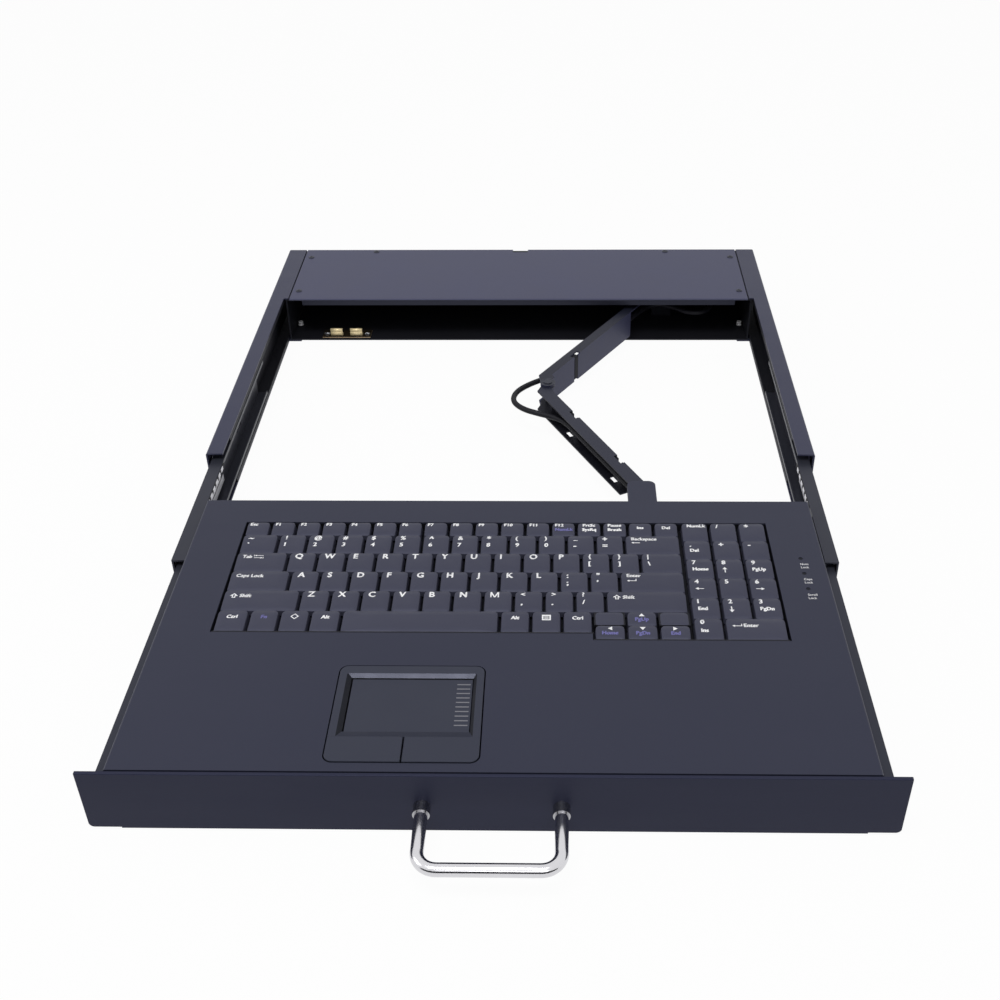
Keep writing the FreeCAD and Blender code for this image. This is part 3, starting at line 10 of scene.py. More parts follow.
import bpy
import numpy as np
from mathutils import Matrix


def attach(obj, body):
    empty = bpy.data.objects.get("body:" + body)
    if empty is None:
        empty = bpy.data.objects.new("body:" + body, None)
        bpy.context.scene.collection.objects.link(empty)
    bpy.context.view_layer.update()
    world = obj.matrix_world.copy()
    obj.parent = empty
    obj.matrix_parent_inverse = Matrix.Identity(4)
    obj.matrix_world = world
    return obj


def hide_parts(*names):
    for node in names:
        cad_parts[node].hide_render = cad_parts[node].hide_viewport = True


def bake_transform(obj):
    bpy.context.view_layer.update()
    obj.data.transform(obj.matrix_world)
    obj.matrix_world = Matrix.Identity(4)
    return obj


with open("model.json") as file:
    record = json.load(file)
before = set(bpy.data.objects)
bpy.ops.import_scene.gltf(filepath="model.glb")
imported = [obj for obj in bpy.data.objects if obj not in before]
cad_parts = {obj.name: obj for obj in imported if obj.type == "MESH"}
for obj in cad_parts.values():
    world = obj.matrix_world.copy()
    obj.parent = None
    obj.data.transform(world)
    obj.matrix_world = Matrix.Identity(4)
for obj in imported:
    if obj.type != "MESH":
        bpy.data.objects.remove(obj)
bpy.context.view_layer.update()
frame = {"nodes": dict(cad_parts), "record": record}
scene = bpy.context.scene
MM = 0.001


# Finishes

# Sockets of a Mix node that mixes colours
MIX_FACTOR, MIX_FROM, MIX_TO, MIX_COLOUR = 0, 6, 7, 2
WHITE = (1, 1, 1, 1)


class Flow:
    """One output of a shader node. Arithmetic on it adds Math nodes to the same finish."""

    def __init__(self, tree, output=None):
        self.tree = tree
        self.output = output

    def node(self, kind, settings, inputs, out=0):
        """Any node: its type, its settings, then the values or links of its sockets."""
        made = self.tree.nodes.new(kind)
        for name, value in settings.items():
            setattr(made, name, value)
        for name, value in inputs.items():
            if isinstance(value, Flow):
                self.tree.links.new(value.output, made.inputs[name])
            else:
                made.inputs[name].default_value = value
        return Flow(self.tree, made.outputs[out])

    def math(self, operation, *values, clamp=False):
        return self.node("ShaderNodeMath", {"operation": operation, "use_clamp": clamp},
                         dict(enumerate(values)))

    def __add__(self, other):
        return self.math("ADD", self, other)

    __radd__ = __add__

    def __sub__(self, other):
        return self.math("SUBTRACT", self, other)

    def __rsub__(self, other):
        return self.math("SUBTRACT", other, self)

    def __mul__(self, other):
        return self.math("MULTIPLY", self, other)

    __rmul__ = __mul__

    def __truediv__(self, other):
        return self.math("DIVIDE", self, other)

    def over(self, level, width):
        """0 below a level, 1 above it, with a soft step of a width between."""
        return self.math("ADD", (self - level) / width, 0.5, clamp=True)

    def mix(self, colour, other):
        """From one colour to another, by this value."""
        return self.node("ShaderNodeMix", {"data_type": "RGBA", "clamp_factor": True},
                         {MIX_FACTOR: self, MIX_FROM: colour, MIX_TO: other}, MIX_COLOUR)

    def tint(self, low, high):
        """From one plain colour to another, by this value."""
        return self.mix((*low, 1.0), (*high, 1.0))

    def tint_over(self, colour, other):
        """A plain colour laid over another colour where this value is 1."""
        return self.mix(colour, (*other, 1.0))

    def seen_rays(self):
        """1 for rays from the camera and from glossy or clear surfaces, 0 for the others."""
        camera, glossy, clear = (self.node("ShaderNodeLightPath", {}, {}, "Is %s Ray" % kind)
                                 for kind in ("Camera", "Glossy", "Transmission"))
        return self.math("MAXIMUM", self.math("MAXIMUM", camera, glossy), clear)


class Finish(Flow):
    """A material with one principled surface, whose constant sockets are set straight on it."""

    def __init__(self, name, **constants):
        self.material = bpy.data.materials.new(name)
        self.material.use_nodes = True
        super().__init__(self.material.node_tree)
        self.surface = self.tree.nodes["Principled BSDF"]
        for socket, value in constants.items():
            self.surface.inputs[socket.replace("_", " ")].default_value = value
        self.place = self.node("ShaderNodeTexCoord", {}, {}, "Object")

    def noise(self, scale, detail=3.0, rough=0.55, stretch=(1, 1, 1), turn=(0, 0, 0)):
        """Noise with a number of waves to the metre, drawn out along an axis by a small stretch."""
        where = self.node("ShaderNodeMapping", {}, {"Vector": self.place, "Scale": stretch,
                                                    "Rotation": turn})
        return self.node("ShaderNodeTexNoise", {}, {"Vector": where, "Scale": scale,
                                                    "Detail": detail, "Roughness": rough})

    def cells(self, scale):
        """Distance from scattered points, a number of them to the metre."""
        return self.node("ShaderNodeTexVoronoi", {}, {"Vector": self.place, "Scale": scale})

    def axis(self, letter):
        """One coordinate of the place, in metres."""
        return self.node("ShaderNodeSeparateXYZ", {}, {"Vector": self.place}, letter)

    def feed(self, socket, flow):
        self.tree.links.new(flow.output, self.surface.inputs[socket])

    def dress(self, colour, rough, height, strength, depth):
        """Colour, roughness and a small relief from a height, its depth in metres."""
        bump = self.node("ShaderNodeBump", {}, {"Height": height, "Strength": strength,
                                                "Distance": depth})
        for socket, flow in (("Base Color", colour), ("Roughness", rough), ("Normal", bump)):
            self.feed(socket, flow)
        return self.material


COAT_SHINE = {"Specular_IOR_Level": 0.3, "Specular_Tint": (0.7, 0.73, 1.0, 1.0)}
PEEL, PEEL_DEPTH, TONE_STEP = (1300.0, 2.0, 0.5), 0.00012, 0.0003


def coated_sheet(name, dark, light, gloss, relief=0.35):
    """Powder coat on sheet steel: fine orange peel, a little dust and a cloudy tone."""
    coat = Finish(name, **COAT_SHINE)
    peel = coat.noise(*PEEL)
    speck = coat.noise(4200.0, 2.0, 0.6)
    cloud = coat.noise(7.0, 4.0, 0.6)
    wipe = coat.noise(60.0, 3.0, 0.6, (0.25, 1.0, 1.0))
    tone = (cloud * 0.55 + peel * 0.2 + speck * 0.25).tint(dark, light)
    dust = (1.0 - coat.cells(240.0).over(0.055, 0.03)) * cloud.over(0.56, 0.1)
    colour = (dust * 0.35).tint_over(tone, [3.0 * part for part in light])
    rough = gloss + 0.12 * (speck - 0.5) + 0.1 * (wipe - 0.5) + 0.06 * dust
    return coat.dress(colour, rough, peel * 0.7 + speck * 0.3, relief, PEEL_DEPTH)


def painted_light_sheet(name, top, below, level, gloss):
    """Coated sheet in painted light and shade: one pair of tones on top, another below a level."""
    coat = Finish(name, **COAT_SHINE)
    peel = coat.noise(*PEEL)
    cloud = coat.noise(30.0, 3.0, 0.6)
    colour = coat.axis("Z").over(level, TONE_STEP).mix(cloud.tint(*below), cloud.tint(*top))
    rough = gloss + 0.12 * (peel - 0.5) + 0.1 * (cloud - 0.5)
    return coat.dress(colour, rough, peel, 0.3, PEEL_DEPTH)


def bare_metal(name, dark, light, rough, grain_stretch, grain=2600.0, scratch=0.25, metallic=1.0,
               relief=0.3):
    """Rolled or brushed metal: lines of grain, cloudy tarnish and scattered fine scratches."""
    metal = Finish(name, Metallic=metallic)
    lines = metal.noise(grain, 3.0, 0.6, grain_stretch)
    cloud = metal.noise(45.0, 4.0, 0.6)
    mark = metal.noise(900.0, 2.0, 0.5, [0.5 * part for part in grain_stretch], (0.2, 0.1, 0.4))
    colour = (cloud * 0.6 + lines * 0.4).tint(dark, light)
    rough = rough + 0.16 * (lines - 0.5) + 0.12 * (cloud - 0.5)
    return metal.dress(colour, rough, lines + mark.over(0.66, 0.04) * scratch, relief, 0.00004)


def moulded_plastic(name, dark, light, rough, spark=3200.0, relief=0.3, shine=0.3):
    """Moulded plastic: the fine spark texture of its mould, and smoother patches from use."""
    plastic = Finish(name, Specular_IOR_Level=shine, Specular_Tint=(0.75, 0.78, 1.0, 1.0))
    texture = plastic.noise(spark, 3.0, 0.65)
    cloud = plastic.noise(38.0, 3.0, 0.55)
    colour = (texture * 0.6 + cloud * 0.4).tint(dark, light)
    rough = rough + 0.14 * (texture - 0.5) - 0.08 * cloud.over(0.58, 0.2)
    return plastic.dress(colour, rough, texture, relief, 0.00006)


def printed_ink(name, dark, light):
    """Printed ink: slightly uneven cover and a grain from the screen."""
    ink = Finish(name, Specular_IOR_Level=0.3)
    cover = ink.noise(900.0, 3.0, 0.6)
    grain = ink.noise(5200.0, 2.0, 0.6)
    colour = (cover * 0.6 + grain * 0.4).tint(dark, light)
    return ink.dress(colour, 0.5 + 0.2 * (grain - 0.5), grain, 0.15, 0.00002)


def solder_mask(name):
    """Circuit board: copper tracks in a square weave under green lacquer."""
    board = Finish(name, Specular_IOR_Level=0.5)
    track = board.node("ShaderNodeTexBrick", {"offset": 0.37},
                       {"Vector": board.place, "Scale": 420.0, "Mortar Size": 0.05}, 1)
    cloud = board.noise(120.0, 3.0, 0.6)
    tone = cloud.tint((0.004, 0.05, 0.018), (0.008, 0.085, 0.03))
    colour = (track * 0.6).tint_over(tone, (0.03, 0.17, 0.06))
    return board.dress(colour, 0.32 + 0.15 * cloud, track, 0.4, 0.00005)


def jacket(name):
    """Cable jacket: soft dark vinyl with a fine skin and dusty patches."""
    vinyl = Finish(name, Specular_IOR_Level=0.18)
    dusty = vinyl.noise(70.0, 4.0, 0.6)
    skin = vinyl.noise(2400.0, 3.0, 0.6)
    colour = (dusty * 0.7 + skin * 0.3).tint((0.005, 0.005, 0.008), (0.011, 0.011, 0.016))
    rough = 0.46 + 0.2 * (dusty - 0.5) + 0.1 * (skin - 0.5)
    return vinyl.dress(colour, rough, skin, 0.25, 0.00005)


FINISHES = {}


def add_finish(recipe, name, *values, **options):
    """Make a finish by its recipe and keep it under its name."""
    FINISHES[name] = recipe(name, *values, **options)


add_finish(coated_sheet, "powder_coat", (0.0210, 0.0226, 0.0395), (0.0296, 0.0320, 0.0509), 0.46)
# Front panel: the deck's coat darker, painted shade on an upright face under light from above
add_finish(coated_sheet, "panel_coat", (0.0092, 0.0107, 0.0268), (0.0141, 0.0158, 0.0361), 0.5)
# Cover: top lighter than the deck as painted sheen, faces below the level darker as painted shade
add_finish(painted_light_sheet, "cover_painted_light", ((0.0444, 0.0460, 0.0894), (0.0603, 0.0635, 0.1176)),
           ((0.0159, 0.0167, 0.0248), (0.0222, 0.0230, 0.0348)), level=0.0431, gloss=0.42)
add_finish(coated_sheet, "rail_coat", (0.0283, 0.0298, 0.0572), (0.0388, 0.0409, 0.0741), 0.42)
# Rear link: painted light, top flange darker as shaded and the web below it lighter as lit
add_finish(painted_light_sheet, "rear_link_painted_light", ((0.0063, 0.0072, 0.0135), (0.0092, 0.0101, 0.0183)),
           ((0.0323, 0.0344, 0.0714), (0.0437, 0.0467, 0.0968)), level=0.0333, gloss=0.45)
# Front link: painted shade, the faces below the level nearly black as in its flange's shade
add_finish(painted_light_sheet, "front_link_painted_shade", ((0.0186, 0.0200, 0.0317), (0.0235, 0.0248, 0.0379)),
           ((0.0034, 0.0034, 0.0055), (0.0062, 0.0062, 0.0090)), level=0.0318, gloss=0.5)
# Near-black: the outer slides' black paint, and painted shade on the rear pan and arm bracket
add_finish(coated_sheet, "black_coat_and_painted_shade", (0.0041, 0.0041, 0.0048), (0.0069, 0.0069, 0.0083), 0.6)
add_finish(bare_metal, "zinc", (0.62, 0.63, 0.66), (0.82, 0.83, 0.86), 0.34, (1.0, 0.06, 1.0))
add_finish(bare_metal, "cage_steel", (0.72, 0.72, 0.78), (0.90, 0.90, 0.95), 0.4, (1.0, 0.1, 1.0),
           metallic=0.2)
# Painted light: the nuts' bright white stands in for the white floor seen through the holes
add_finish(bare_metal, "white_zinc", (0.93, 0.93, 0.95), (0.97, 0.97, 0.98), 0.4, (1.0, 0.1, 1.0),
           metallic=0.0)
add_finish(bare_metal, "steel", (0.62, 0.615, 0.64), (0.74, 0.735, 0.76), 0.17, (0.05, 0.05, 1.0),
           grain=900.0, scratch=0.1, relief=0.08)
# Handle collars: the steel made darker, a painted reflection of the dark panel
add_finish(bare_metal, "collar_painted_shade_steel", (0.36, 0.36, 0.38), (0.46, 0.46, 0.48), 0.22,
           (0.05, 0.05, 1.0), grain=900.0, scratch=0.1, relief=0.08)
add_finish(coated_sheet, "dark_steel", (0.020, 0.021, 0.029), (0.030, 0.032, 0.042), 0.4,
           relief=0.2)
# Catch plate: top dark as a painted reflection of the dark box, front edge a painted highlight
add_finish(painted_light_sheet, "catch_brass_painted_light", ((0.012, 0.009, 0.005), (0.022, 0.016, 0.008)),
           ((0.86, 0.62, 0.38), (0.96, 0.74, 0.48)), level=0.0029, gloss=0.4)
add_finish(bare_metal, "spring_brass", (0.90, 0.68, 0.34), (0.99, 0.88, 0.56), 0.36,
           (0.06, 1.0, 1.0), metallic=0.4)
add_finish(moulded_plastic, "key_plastic", (0.0392, 0.0408, 0.0624), (0.0536, 0.0552, 0.0833), 0.52)
add_finish(moulded_plastic, "base_plastic", (0.003, 0.003, 0.004), (0.006, 0.006, 0.007), 0.7)
add_finish(moulded_plastic, "pad_plastic", (0.0251, 0.0273, 0.0417), (0.0349, 0.0387, 0.0562), 0.46)
add_finish(moulded_plastic, "polished_edge", (0.0207, 0.0228, 0.0345), (0.0290, 0.0317, 0.0462),
           0.27, relief=0.05, shine=0.32)
# Dark plastic: the lamps' dark lenses, and painted shade on the touchpad frame's side slopes
add_finish(moulded_plastic, "dark_lens_and_painted_shade", (0.0062, 0.0069, 0.0097), (0.0097, 0.0103, 0.0138), 0.5,
           shine=0.15)
# The touchpad's plastic a little darker: painted shade on the strip in front of the pad
add_finish(moulded_plastic, "pad_strip_painted_shade", (0.0235, 0.0259, 0.0403), (0.0327, 0.0356, 0.0539), 0.5,
           shine=0.1)
# Dark rubber: the strap's own, and painted shade in the touchpad's groove, key gaps and ball rows
add_finish(moulded_plastic, "rubber", (0.011, 0.011, 0.012), (0.02, 0.02, 0.022), 0.75,
           spark=1600.0)
add_finish(jacket, "cable_jacket")
add_finish(solder_mask, "board")
add_finish(printed_ink, "white_ink", (0.92, 0.92, 0.94), (0.97, 0.97, 0.98))
add_finish(printed_ink, "blue_ink", (0.13, 0.125, 0.33), (0.19, 0.185, 0.44))
add_finish(printed_ink, "grey_ink", (0.17, 0.17, 0.19), (0.24, 0.24, 0.27))

SLOTS = {solid["node"]: solid["material_slot"] for solid in frame["record"]["subparts"]}
NODE_FINISHES = {
    "rear_cover": "cover_painted_light", "rear_pan": "black_coat_and_painted_shade", "arm_bracket": "black_coat_and_painted_shade",
    "left_side_rail": "rail_coat", "right_side_rail": "rail_coat",
    "left_outer_slide": "black_coat_and_painted_shade", "right_outer_slide": "black_coat_and_painted_shade",
    "left_inner_ball_cage": "cage_steel", "right_inner_ball_cage": "cage_steel",
    "arm_rear_link": "rear_link_painted_light", "arm_front_link": "front_link_painted_shade",
    "catch_base": "catch_brass_painted_light", "catch_clips": "spring_brass",
    "handle_collars": "collar_painted_shade_steel", "indicator_lamps": "dark_lens_and_painted_shade"}
for node, slot in SLOTS.items():
    materials = frame["nodes"][node].data.materials
    materials.clear()
    materials.append(FINISHES[NODE_FINISHES.get(node, slot)])


# Meshes

def make_piece(name, points, faces, finishes, body, slot=None, which=None, crease=None):
    """Points in millimetres and rows of corner numbers become one piece that rides on a body. Which
    gives the number of each face's finish. With a crease the piece is shaded smooth, apart from the
    bends above that many degrees.
    """
    mesh = bpy.data.meshes.new(name)
    mesh.from_pydata((np.asarray(points) * MM).tolist(), [], [list(row) for row in faces])
    for finish in finishes:
        mesh.materials.append(FINISHES[finish])
    if which is not None:
        mesh.polygons.foreach_set("material_index", np.asarray(which, np.int32))
    mesh.polygons.foreach_set("use_smooth", np.full(len(mesh.polygons), crease is not None))
    mesh.update()
    if crease is not None:
        mesh.set_sharp_from_angle(angle=math.radians(crease))
    thing = bpy.data.objects.new(name, mesh)
    scene.collection.objects.link(thing)
    if body:
        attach(thing, body)
    return thing


def band_faces(rings, count):
    """Quads between closed rings of points, each ring a run of count numbers."""
    ring = np.arange(rings - 1)[:, None] * count
    here = np.arange(count)[None, :]
    after = (here + 1) % count
    return np.stack([ring + here, ring + after, ring + count + after, ring + count + here],
                    -1).reshape(-1, 4)


def curve_mesh(curve):
    """Points and triangles of the mesh that a curve makes. The curve itself is removed."""
    holder = bpy.data.objects.new("holder", curve)
    mesh = bpy.data.meshes.new_from_object(holder)
    mesh.calc_loop_triangles()
    points = np.zeros(len(mesh.vertices) * 3)
    mesh.vertices.foreach_get("co", points)
    faces = np.zeros(len(mesh.loop_triangles) * 3, np.int32)
    mesh.loop_triangles.foreach_get("vertices", faces)
    bpy.data.meshes.remove(mesh)
    bpy.data.objects.remove(holder)
    bpy.data.curves.remove(curve)
    return points.reshape(-1, 3), faces.reshape(-1, 3)


def tube(route, diameter, sides=14, upright=0.05):
    """A round section carried along a smooth line: at each point of the line the section's circle
    stands square to it, with one radius level, and both ends are closed. Where the line is upright
    that radius points along Y.
    """
    curve = bpy.data.curves.new("line", "CURVE")
    curve.dimensions = "3D"
    curve.resolution_u = 16
    spline = curve.splines.new("NURBS")
    spline.points.add(len(route) - 1)
    spline.points.foreach_set("co", np.column_stack([route, np.ones(len(route))]).ravel())
    spline.order_u = 3
    spline.use_endpoint_u = True
    path, _ = curve_mesh(curve)
    ahead = np.gradient(path, axis=0)
    ahead /= np.linalg.norm(ahead, axis=1)[:, None]
    side = np.cross(ahead, (0.0, 0.0, 1.0))
    flat = np.linalg.norm(side, axis=1) < upright
    side[flat] = np.cross(ahead[flat], (1.0, 0.0, 0.0))
    side /= np.linalg.norm(side, axis=1)[:, None]
    up = np.cross(side, ahead)
    angle = np.linspace(0, 2 * math.pi, sides, endpoint=False)
    turn = np.stack([np.cos(angle), np.sin(angle)])[:, None, :, None]
    circle = side[:, None, :] * turn[0] + up[:, None, :] * turn[1]
    points = (path[:, None, :] + circle * diameter / 2).reshape(-1, 3)
    faces = band_faces(len(path), sides)[:, ::-1].tolist()
    faces.append(list(range(sides)))
    faces.append(list(range(len(points) - 1, len(points) - 1 - sides, -1)))
    return points, faces


# Keyboard: places of the keys, as in the solids

KEY_PITCH, ROW_PITCH, FUNCTION_DEPTH = 19.22, 19.4, 14.2
KEYS_LEFT, BLOCK_RIGHT, ARROWS_LEFT = -175.69, 117.22, 57.64
KEYS_BACK, PAD_FRONT, PAD_LEFT, PAD_PITCH = -85.35, -202.45, 118.12, 19.19
KEY_LOW, KEY_TOP, DISH, FRONT_FALL = 39.1, 44.2, 0.25, 1.3
SIDE_GAP, ROW_GAP = 0.6, 0.25
SIDE_SLOPE, BACK_SLOPE, FRONT_SLOPE = 0.6, 0.15, 0.3
BLANK_LOW, BLANK_TOP = 38.0, 43.75


def key_table():
    """For each row of keys, the left, right, front and back limits of its keys."""
    rows = {}

    def add(name, back, depth, edges):
        rows.setdefault(name, []).extend(
            (left, right, back - depth, back) for left, right in zip(edges, edges[1:]))

    add("function_keys", KEYS_BACK, FUNCTION_DEPTH, list(np.linspace(KEYS_LEFT, BLOCK_RIGHT, 18)))
    back = KEYS_BACK - FUNCTION_DEPTH
    starts = {"number_keys": (1.3, 12), "upper_letter_keys": (1.8, 12),
              "home_letter_keys": (2.055, 11), "lower_letter_keys": (2.557, 10)}
    for name, (first, count) in starts.items():
        inner = [KEYS_LEFT + (first + number) * KEY_PITCH for number in range(count + 1)]
        add(name, back, ROW_PITCH, [KEYS_LEFT] + inner + [BLOCK_RIGHT])
        back -= ROW_PITCH
    before = [KEYS_LEFT + share * KEY_PITCH for share in (0, 1.072, 2.058, 3.043, 4.048)]
    after = [ARROWS_LEFT - number * KEY_PITCH for number in (3, 2, 1, 0)]
    add("modifier_keys", back, ROW_PITCH, before)
    add("modifier_keys", back, ROW_PITCH, after)
    add("space_bar", back, ROW_PITCH, [before[-1], after[0]])
    half = (back - PAD_FRONT) / 2
    columns = list(np.linspace(ARROWS_LEFT, BLOCK_RIGHT, 4))
    add("arrow_keys", back, half, columns[1:3])
    add("arrow_keys", back - half, half, columns)
    add("blanks", back, half, columns[:2])
    add("blanks", back, half, columns[2:])
    depth = (KEYS_BACK - PAD_FRONT) / 6
    pads = [PAD_LEFT + number * PAD_PITCH for number in range(4)]
    for number in range(5):
        add("number_pad_keys", KEYS_BACK - number * depth, depth, pads)
    add("number_pad_keys", KEYS_BACK - 5 * depth, depth, pads[:2])
    add("number_pad_keys", KEYS_BACK - 5 * depth, depth, pads[1:4:2])
    return rows


KEYS = key_table()
CORNER_STEPS, LONG_STEPS, CAP_CREASE = 4, 3, 50


def key_outline(half_width, half_depth, back_corner, front_corner):
    """A rounded rectangle as one ring: quarter turns at the corners, and points spread along the
    front and back edges. The first half runs along the back from right to left, the second half
    along the front from left to right.
    """
    turn = np.linspace(0, math.pi / 2, CORNER_STEPS)
    run = np.linspace(1, -1, LONG_STEPS + 2)[1:-1]

    def half(corner):
        reach_x = (half_width - corner)[..., None]
        reach_y = (half_depth - corner)[..., None]
        radius = np.broadcast_to(corner, half_width.shape)[..., None]
        straight = run * reach_x
        across = np.concatenate([reach_x + radius * np.cos(turn), straight,
                                 -reach_x - radius * np.sin(turn)], -1)
        away = np.concatenate([reach_y + radius * np.sin(turn), reach_y + radius + 0 * straight,
                               reach_y + radius * np.cos(turn)], -1)
        return across, away

    back_x, back_y = half(back_corner)
    front_x, front_y = half(front_corner)
    return (np.concatenate([back_x, front_x[..., ::-1]], -1),
            np.concatenate([back_y, -front_y[..., ::-1]], -1))


def cap_top(x, y, cell, top=KEY_TOP, dish=DISH, fall=FRONT_FALL):
    """Height of a cap's top over a place: sunk as a parabola across the key, lowest in its middle,
    and falling as a parabola from the middle of the key to its front.
    """
    left, right, front, back = cell
    across = (2 * x - left - right) / (right - left)
    ahead = (front + back - 2 * y) / (back - front)
    return top - dish * np.clip(1 - across ** 2, 0, 1) - fall * np.clip(ahead, 0, 1) ** 2


def key_caps(cells, low, top=KEY_TOP, dish=DISH, fall=FRONT_FALL):
    """All caps of a row. Each is a stack of rounded rectangles: the inset grows from the skirt to
    the top edge, which is rolled over, and the last rings shrink over the curved top to its middle.
    """
    left, right, front, back = np.asarray(cells, float).T[:, :, None]
    slope = np.array([0.0, 0.72, 0.90, 0.98, 1.0, 1.0, 1.0])
    roll = np.array([0.0, 0.0, 0.05, 0.16, 0.4, 0.4, 0.4])
    below = np.array([0.0, 1.4, 0.5, 0.12, 0.0, 0.0, 0.0])
    shrink = np.array([1.0, 1.0, 1.0, 1.0, 1.0, 0.6, 0.2])
    back_corner = np.array([2.2, 2.8, 2.8, 2.7, 2.6, 2.6, 2.6])
    front_corner = np.array([0.8, 1.0, 1.0, 0.9, 0.8, 0.8, 0.8])
    inner_left = left + SIDE_GAP + SIDE_SLOPE * slope + roll
    inner_right = right - SIDE_GAP - SIDE_SLOPE * slope - roll
    inner_front = front + ROW_GAP + FRONT_SLOPE * slope + roll / 2
    inner_back = back - ROW_GAP - BACK_SLOPE * slope - roll / 2
    across, along = key_outline((inner_right - inner_left) / 2, (inner_back - inner_front) / 2,
                                back_corner, front_corner)
    x = across * shrink[:, None] + (inner_left + inner_right)[..., None] / 2
    y = along * shrink[:, None] + (inner_front + inner_back)[..., None] / 2
    cell = [limit[:, :, None] for limit in (left, right, front, back)]
    height = cap_top(x, y, cell, top, dish, fall) - below[:, None]
    height[:, 0] = low
    points = np.stack([x, y, height], -1)
    count, rings, ring = points.shape[:3]
    rung = np.arange(ring // 2 - 1)
    ladder = np.stack([rung, rung + 1, ring - 2 - rung, ring - 1 - rung], -1)
    one = np.concatenate([band_faces(rings, ring), ladder + (rings - 1) * ring, ladder[:, ::-1]])
    faces = (np.arange(count)[:, None, None] * rings * ring + one).reshape(-1, 4)
    return points.reshape(-1, 3), faces


for row, cells in KEYS.items():
    if row == "blanks":
        make_piece("arrow_blanks", *key_caps(cells, BLANK_LOW, BLANK_TOP, 0.0, 0.0),
                   ["key_plastic"], "drawer", "key_plastic", crease=CAP_CREASE)
    else:
        caps = make_piece(row + "_caps", *key_caps(cells, KEY_LOW), ["key_plastic"], row,
                          "key_plastic", crease=CAP_CREASE)
        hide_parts(row)


# Marks on the keys

def bar(left, low, right, high):
    return [(left, low), (right, low), (right, high), (left, high)]


def tip(x, y, length, spread, turn):
    """A solid arrow point as a quad with two corners in one place, turned by quarter turns."""
    corners = np.array([(0, 0), (-length, -spread), (-length, 0), (-length, spread)], float)
    for _ in range(turn):
        corners = np.column_stack([-corners[:, 1], corners[:, 0]])
    return [tuple(corner) for corner in corners + (x, y)]


def frame_of(outer, inner):
    """A band between two outlines with the same number of corners."""
    after = np.roll(np.arange(len(outer)), -1)
    return np.stack([outer, outer[after], inner[after], inner], 1)


SHIFT_OUT = np.array([(0.0, 0.42), (0.6, 1.0), (1.2, 0.42), (0.86, 0.42), (0.86, 0.0), (0.34, 0.0),
                      (0.34, 0.42)])
SHIFT_IN = np.array([(0.36, 0.56), (0.6, 0.78), (0.84, 0.56), (0.7, 0.56), (0.7, 0.14), (0.5, 0.14),
                     (0.5, 0.56)])
GLYPHS = {
    "{up}": [tip(0.55, 0.9, 0.8, 0.55, 1)],
    "{down}": [tip(0.55, 0.1, 0.8, 0.55, 3)],
    "{left}": [tip(0.1, 0.5, 0.8, 0.5, 2)],
    "{right}": [tip(0.9, 0.5, 0.8, 0.5, 0)],
    "{arrow up}": [tip(0.4, 1.1, 0.5, 0.36, 1), bar(0.32, -0.1, 0.48, 0.65)],
    "{arrow down}": [tip(0.4, -0.1, 0.5, 0.36, 3), bar(0.32, 0.35, 0.48, 1.1)],
    "{arrow left}": [tip(0.0, 0.5, 0.6, 0.34, 2), bar(0.55, 0.42, 1.5, 0.58)],
    "{arrow right}": [tip(1.5, 0.5, 0.6, 0.34, 0), bar(0.0, 0.42, 0.95, 0.58)],
    "{back}": [tip(0.0, 0.5, 0.6, 0.34, 2), bar(0.5, 0.38, 2.2, 0.62)],
    "{enter}": [tip(0.0, 0.3, 0.6, 0.34, 2), bar(0.5, 0.2, 2.2, 0.4), bar(2.0, 0.4, 2.2, 1.0)],
    "{tab}": [tip(0.1, 1.0, 0.6, 0.36, 2), bar(0.7, 0.9, 2.6, 1.1), bar(-0.1, 0.62, 0.05, 1.38),
              tip(2.5, 0.0, 0.6, 0.36, 0), bar(0.0, -0.1, 1.9, 0.1), bar(2.55, -0.38, 2.7, 0.38)],
    "{shift}": frame_of(SHIFT_OUT, SHIFT_IN),
    "{menu}": [bar(0.0, 0.0, 1.2, 0.2), bar(0.0, 0.82, 1.2, 1.1), bar(0.0, 0.2, 0.2, 0.82),
               bar(1.0, 0.2, 1.2, 0.82), bar(0.3, 0.3, 0.9, 0.42), bar(0.3, 0.56, 0.9, 0.72)],
    "M": [bar(0.0, 0.0, 0.17, 1.0), bar(0.93, 0.0, 1.1, 1.0),
          [(0.0, 1.0), (0.46, 0.0), (0.64, 0.0), (0.2, 1.0)],
          [(0.9, 1.0), (0.46, 0.0), (0.64, 0.0), (1.1, 1.0)]],
    "{ring}": frame_of(np.array([(0.0, 0.6), (0.6, 0.0), (1.2, 0.6), (0.6, 1.2)]),
                       np.array([(0.2, 0.6), (0.6, 0.2), (1.0, 0.6), (0.6, 1.0)])),
}
TEXT_CAP, TEXT_STRETCH, TEXT_WEIGHT = 0.73, 0.93, 0.008
STROKE_SHIFT = np.array((0.22, 0.14))
drawn = {}


def mark(text):
    """Corner points and triangles of a word or sign, one unit high from its line to its caps."""
    if text in drawn:
        return drawn[text]
    if text in GLYPHS:
        quads = np.asarray(GLYPHS[text], float)
        points = quads.reshape(-1, 2)
        first = np.arange(len(quads))[:, None] * 4
        faces = np.concatenate([first + (0, 1, 2), first + (0, 2, 3)])
    else:
        curve = bpy.data.curves.new("mark", "FONT")
        curve.body = text
        curve.offset = TEXT_WEIGHT
        curve.resolution_u = 3
        curve.space_character = 1.04
        points, faces = curve_mesh(curve)
        points = points[:, :2] / TEXT_CAP * (TEXT_STRETCH, 1)
    corner = points[faces]
    turned = np.cross(corner[:, 1] - corner[:, 0], corner[:, 2] - corner[:, 0]) < 0
    faces = np.where(turned[:, None], faces[:, ::-1], faces)
    points = points - (points[:, 0].min(), 0)
    drawn[text] = points, faces
    return drawn[text]


def blue(text):
    return text, 1


